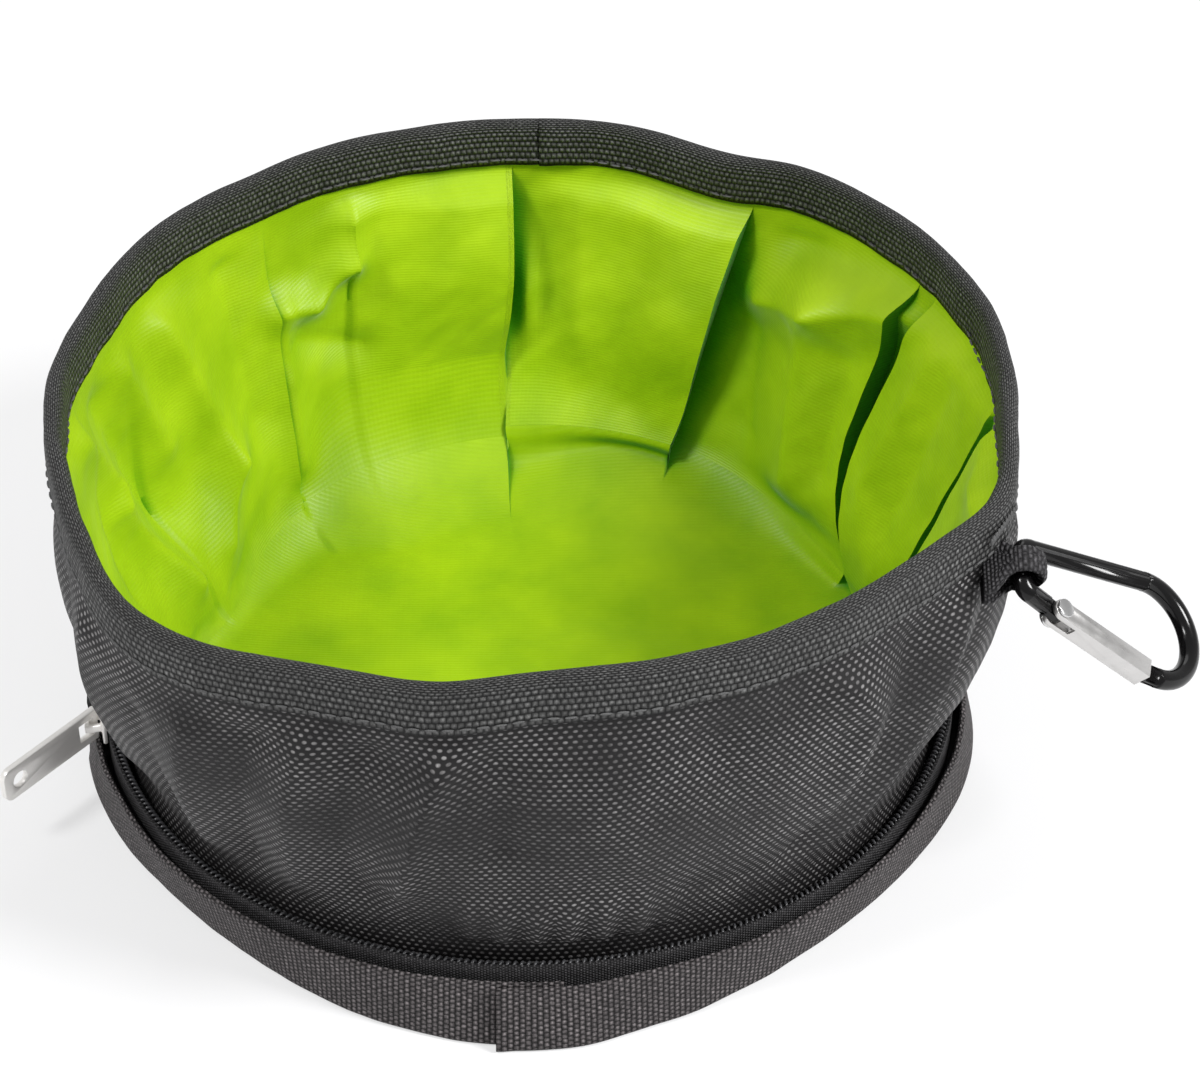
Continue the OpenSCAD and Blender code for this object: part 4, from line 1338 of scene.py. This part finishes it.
def make_carabiner_loop():
    bend_r = LOOP_EYE_R + LOOP_THICK
    bend = math.pi * bend_r
    path_len = 2 * LOOP_TAIL + bend
    slope = (bend_r - LOOP_ENDS) / LOOP_TAIL

    def path(d):
        """Place on the webbing's outer face, d along it, from above."""
        if d < LOOP_TAIL:
            return -LOOP_TAIL + d, LOOP_ENDS + slope * d
        if d > LOOP_TAIL + bend:
            back = d - LOOP_TAIL - bend
            return -back, -(bend_r - slope * back)
        turn = math.pi / 2 - (d - LOOP_TAIL) / bend_r
        return bend_r * math.cos(turn), bend_r * math.sin(turn)

    def place(a, b):
        d = path_len * (1 - a)
        x, z = path(d)
        gather = smooth(-LOOP_TAIL + 1.5, -1.5, x)
        wide = LOOP_WIDE + (LOOP_NECK - LOOP_WIDE) * gather
        pleat = PLEAT_HIGH * gather * math.cos((b - 0.5) * 2 * PLEATS * math.pi)
        if x > 0:
            x, z = x * (1 + pleat / bend_r), z * (1 + pleat / bend_r)
        else:
            z += pleat if z >= 0 else -pleat
        return x, (b - 0.5) * wide, z

    def texture(a, b):
        return path_len * a, LOOP_WIDE * b

    columns, rows, area_share = 60, 28, 0.72
    obj = cloth_grid("carabiner_loop_webbing", columns, rows, place, texture, thick=LOOP_THICK)
    obj.data.transform(at_loop())
    settle(obj, LOOP_FINISH, "carabiner_loop", "rim")


def make_bartack():
    """Close zigzag stitches across the loop, where it is sewn to the binding."""
    low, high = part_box("loop_bartack")
    middle = (Vector(low) + Vector(high)) / 2
    x, y = in_turns(LOOP_TURN)
    out, across = Vector((x, y, 0)), Vector((-y, x, 0))
    count, wide, rise, lean = 21, 14.2, 2, 0.405
    places = []
    for number in range(count):
        here = middle / MM + across * (number / (count - 1) - 0.5) * wide
        aside = across * (lean if number % 2 else -lean)
        places.append(frame_at(here, here + Vector((0, 0, rise)) + aside, out))
    stitch = stitch_pattern(length=2.4, wide=0.75, high=0.8)
    obj = copies_of(stitch, "loop_bartack_stitches", places)
    settle(obj, THREAD_FINISH, "loop_bartack", "rim")


def make_hardware():
    """Hard pieces follow their CAD solids with eased edges. Three hidden ones stay CAD nodes."""
    for node, name, ease, finish, slot, body in (
        ("zip_slider", "slider_body", 0.35, ZIP_METAL, "zip_metal", "slider"),
        ("zip_pull", "pull_tab", 0.45, ZIP_METAL, "zip_metal", "pull"),
        ("carabiner_body", "carabiner_bar", 0.0, HOOK_BLACK, "hook_black", "hook"),
        ("carabiner_gate", "gate_channel", 0.8, GATE_METAL, "gate_silver", "gate"),
        ("gate_rivet", "gate_rivet_pin", 0.2, RIVET_METAL, "steel", "hook"),
        ("gate_spring", "gate_spring_core", 0.0, RIVET_METAL, "steel", "gate"),
    ):
        obj = eased_copy(node, name, ease)
        dress(obj, finish)
        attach(obj, body)
    for node, finish in (
        ("zip_end_box", TEETH_FINISH), ("zip_top_stop", TEETH_FINISH), ("floor_board", BOARD_FINISH)
    ):
        dress(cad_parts[node], finish)


make_lining_wall()
make_lining_floor()
make_outer_wall()
make_binding()
make_rim_stitching()
make_band("band_left_webbing", "band_left", 188, BAND_SPLIT, lambda turn: (FOOT_R, 0.0))
make_band("band_right_webbing", "band_right", LAP_FROM, 363, lap_path)
make_zip_tape()
make_coil(
    "pouch_zip_teeth", "tray_zip_coil", "tray", 187.2, 360.9, TEETH_R, TEETH_Z,
    wire_r=0.38, loop_r=1.1,
)
make_rear_cloth()
make_joining_strip()
make_disc("pouch_base_cloth", "base_panel", "tray", radius=106.2, z=0, thick=0.9, flared=True)
make_disc("bowl_base_cloth", "bowl_base", "bowl", radius=95.2, z=1.2, thick=0.8)
make_hem_zip()
make_carabiner_loop()
make_bartack()
make_hardware()
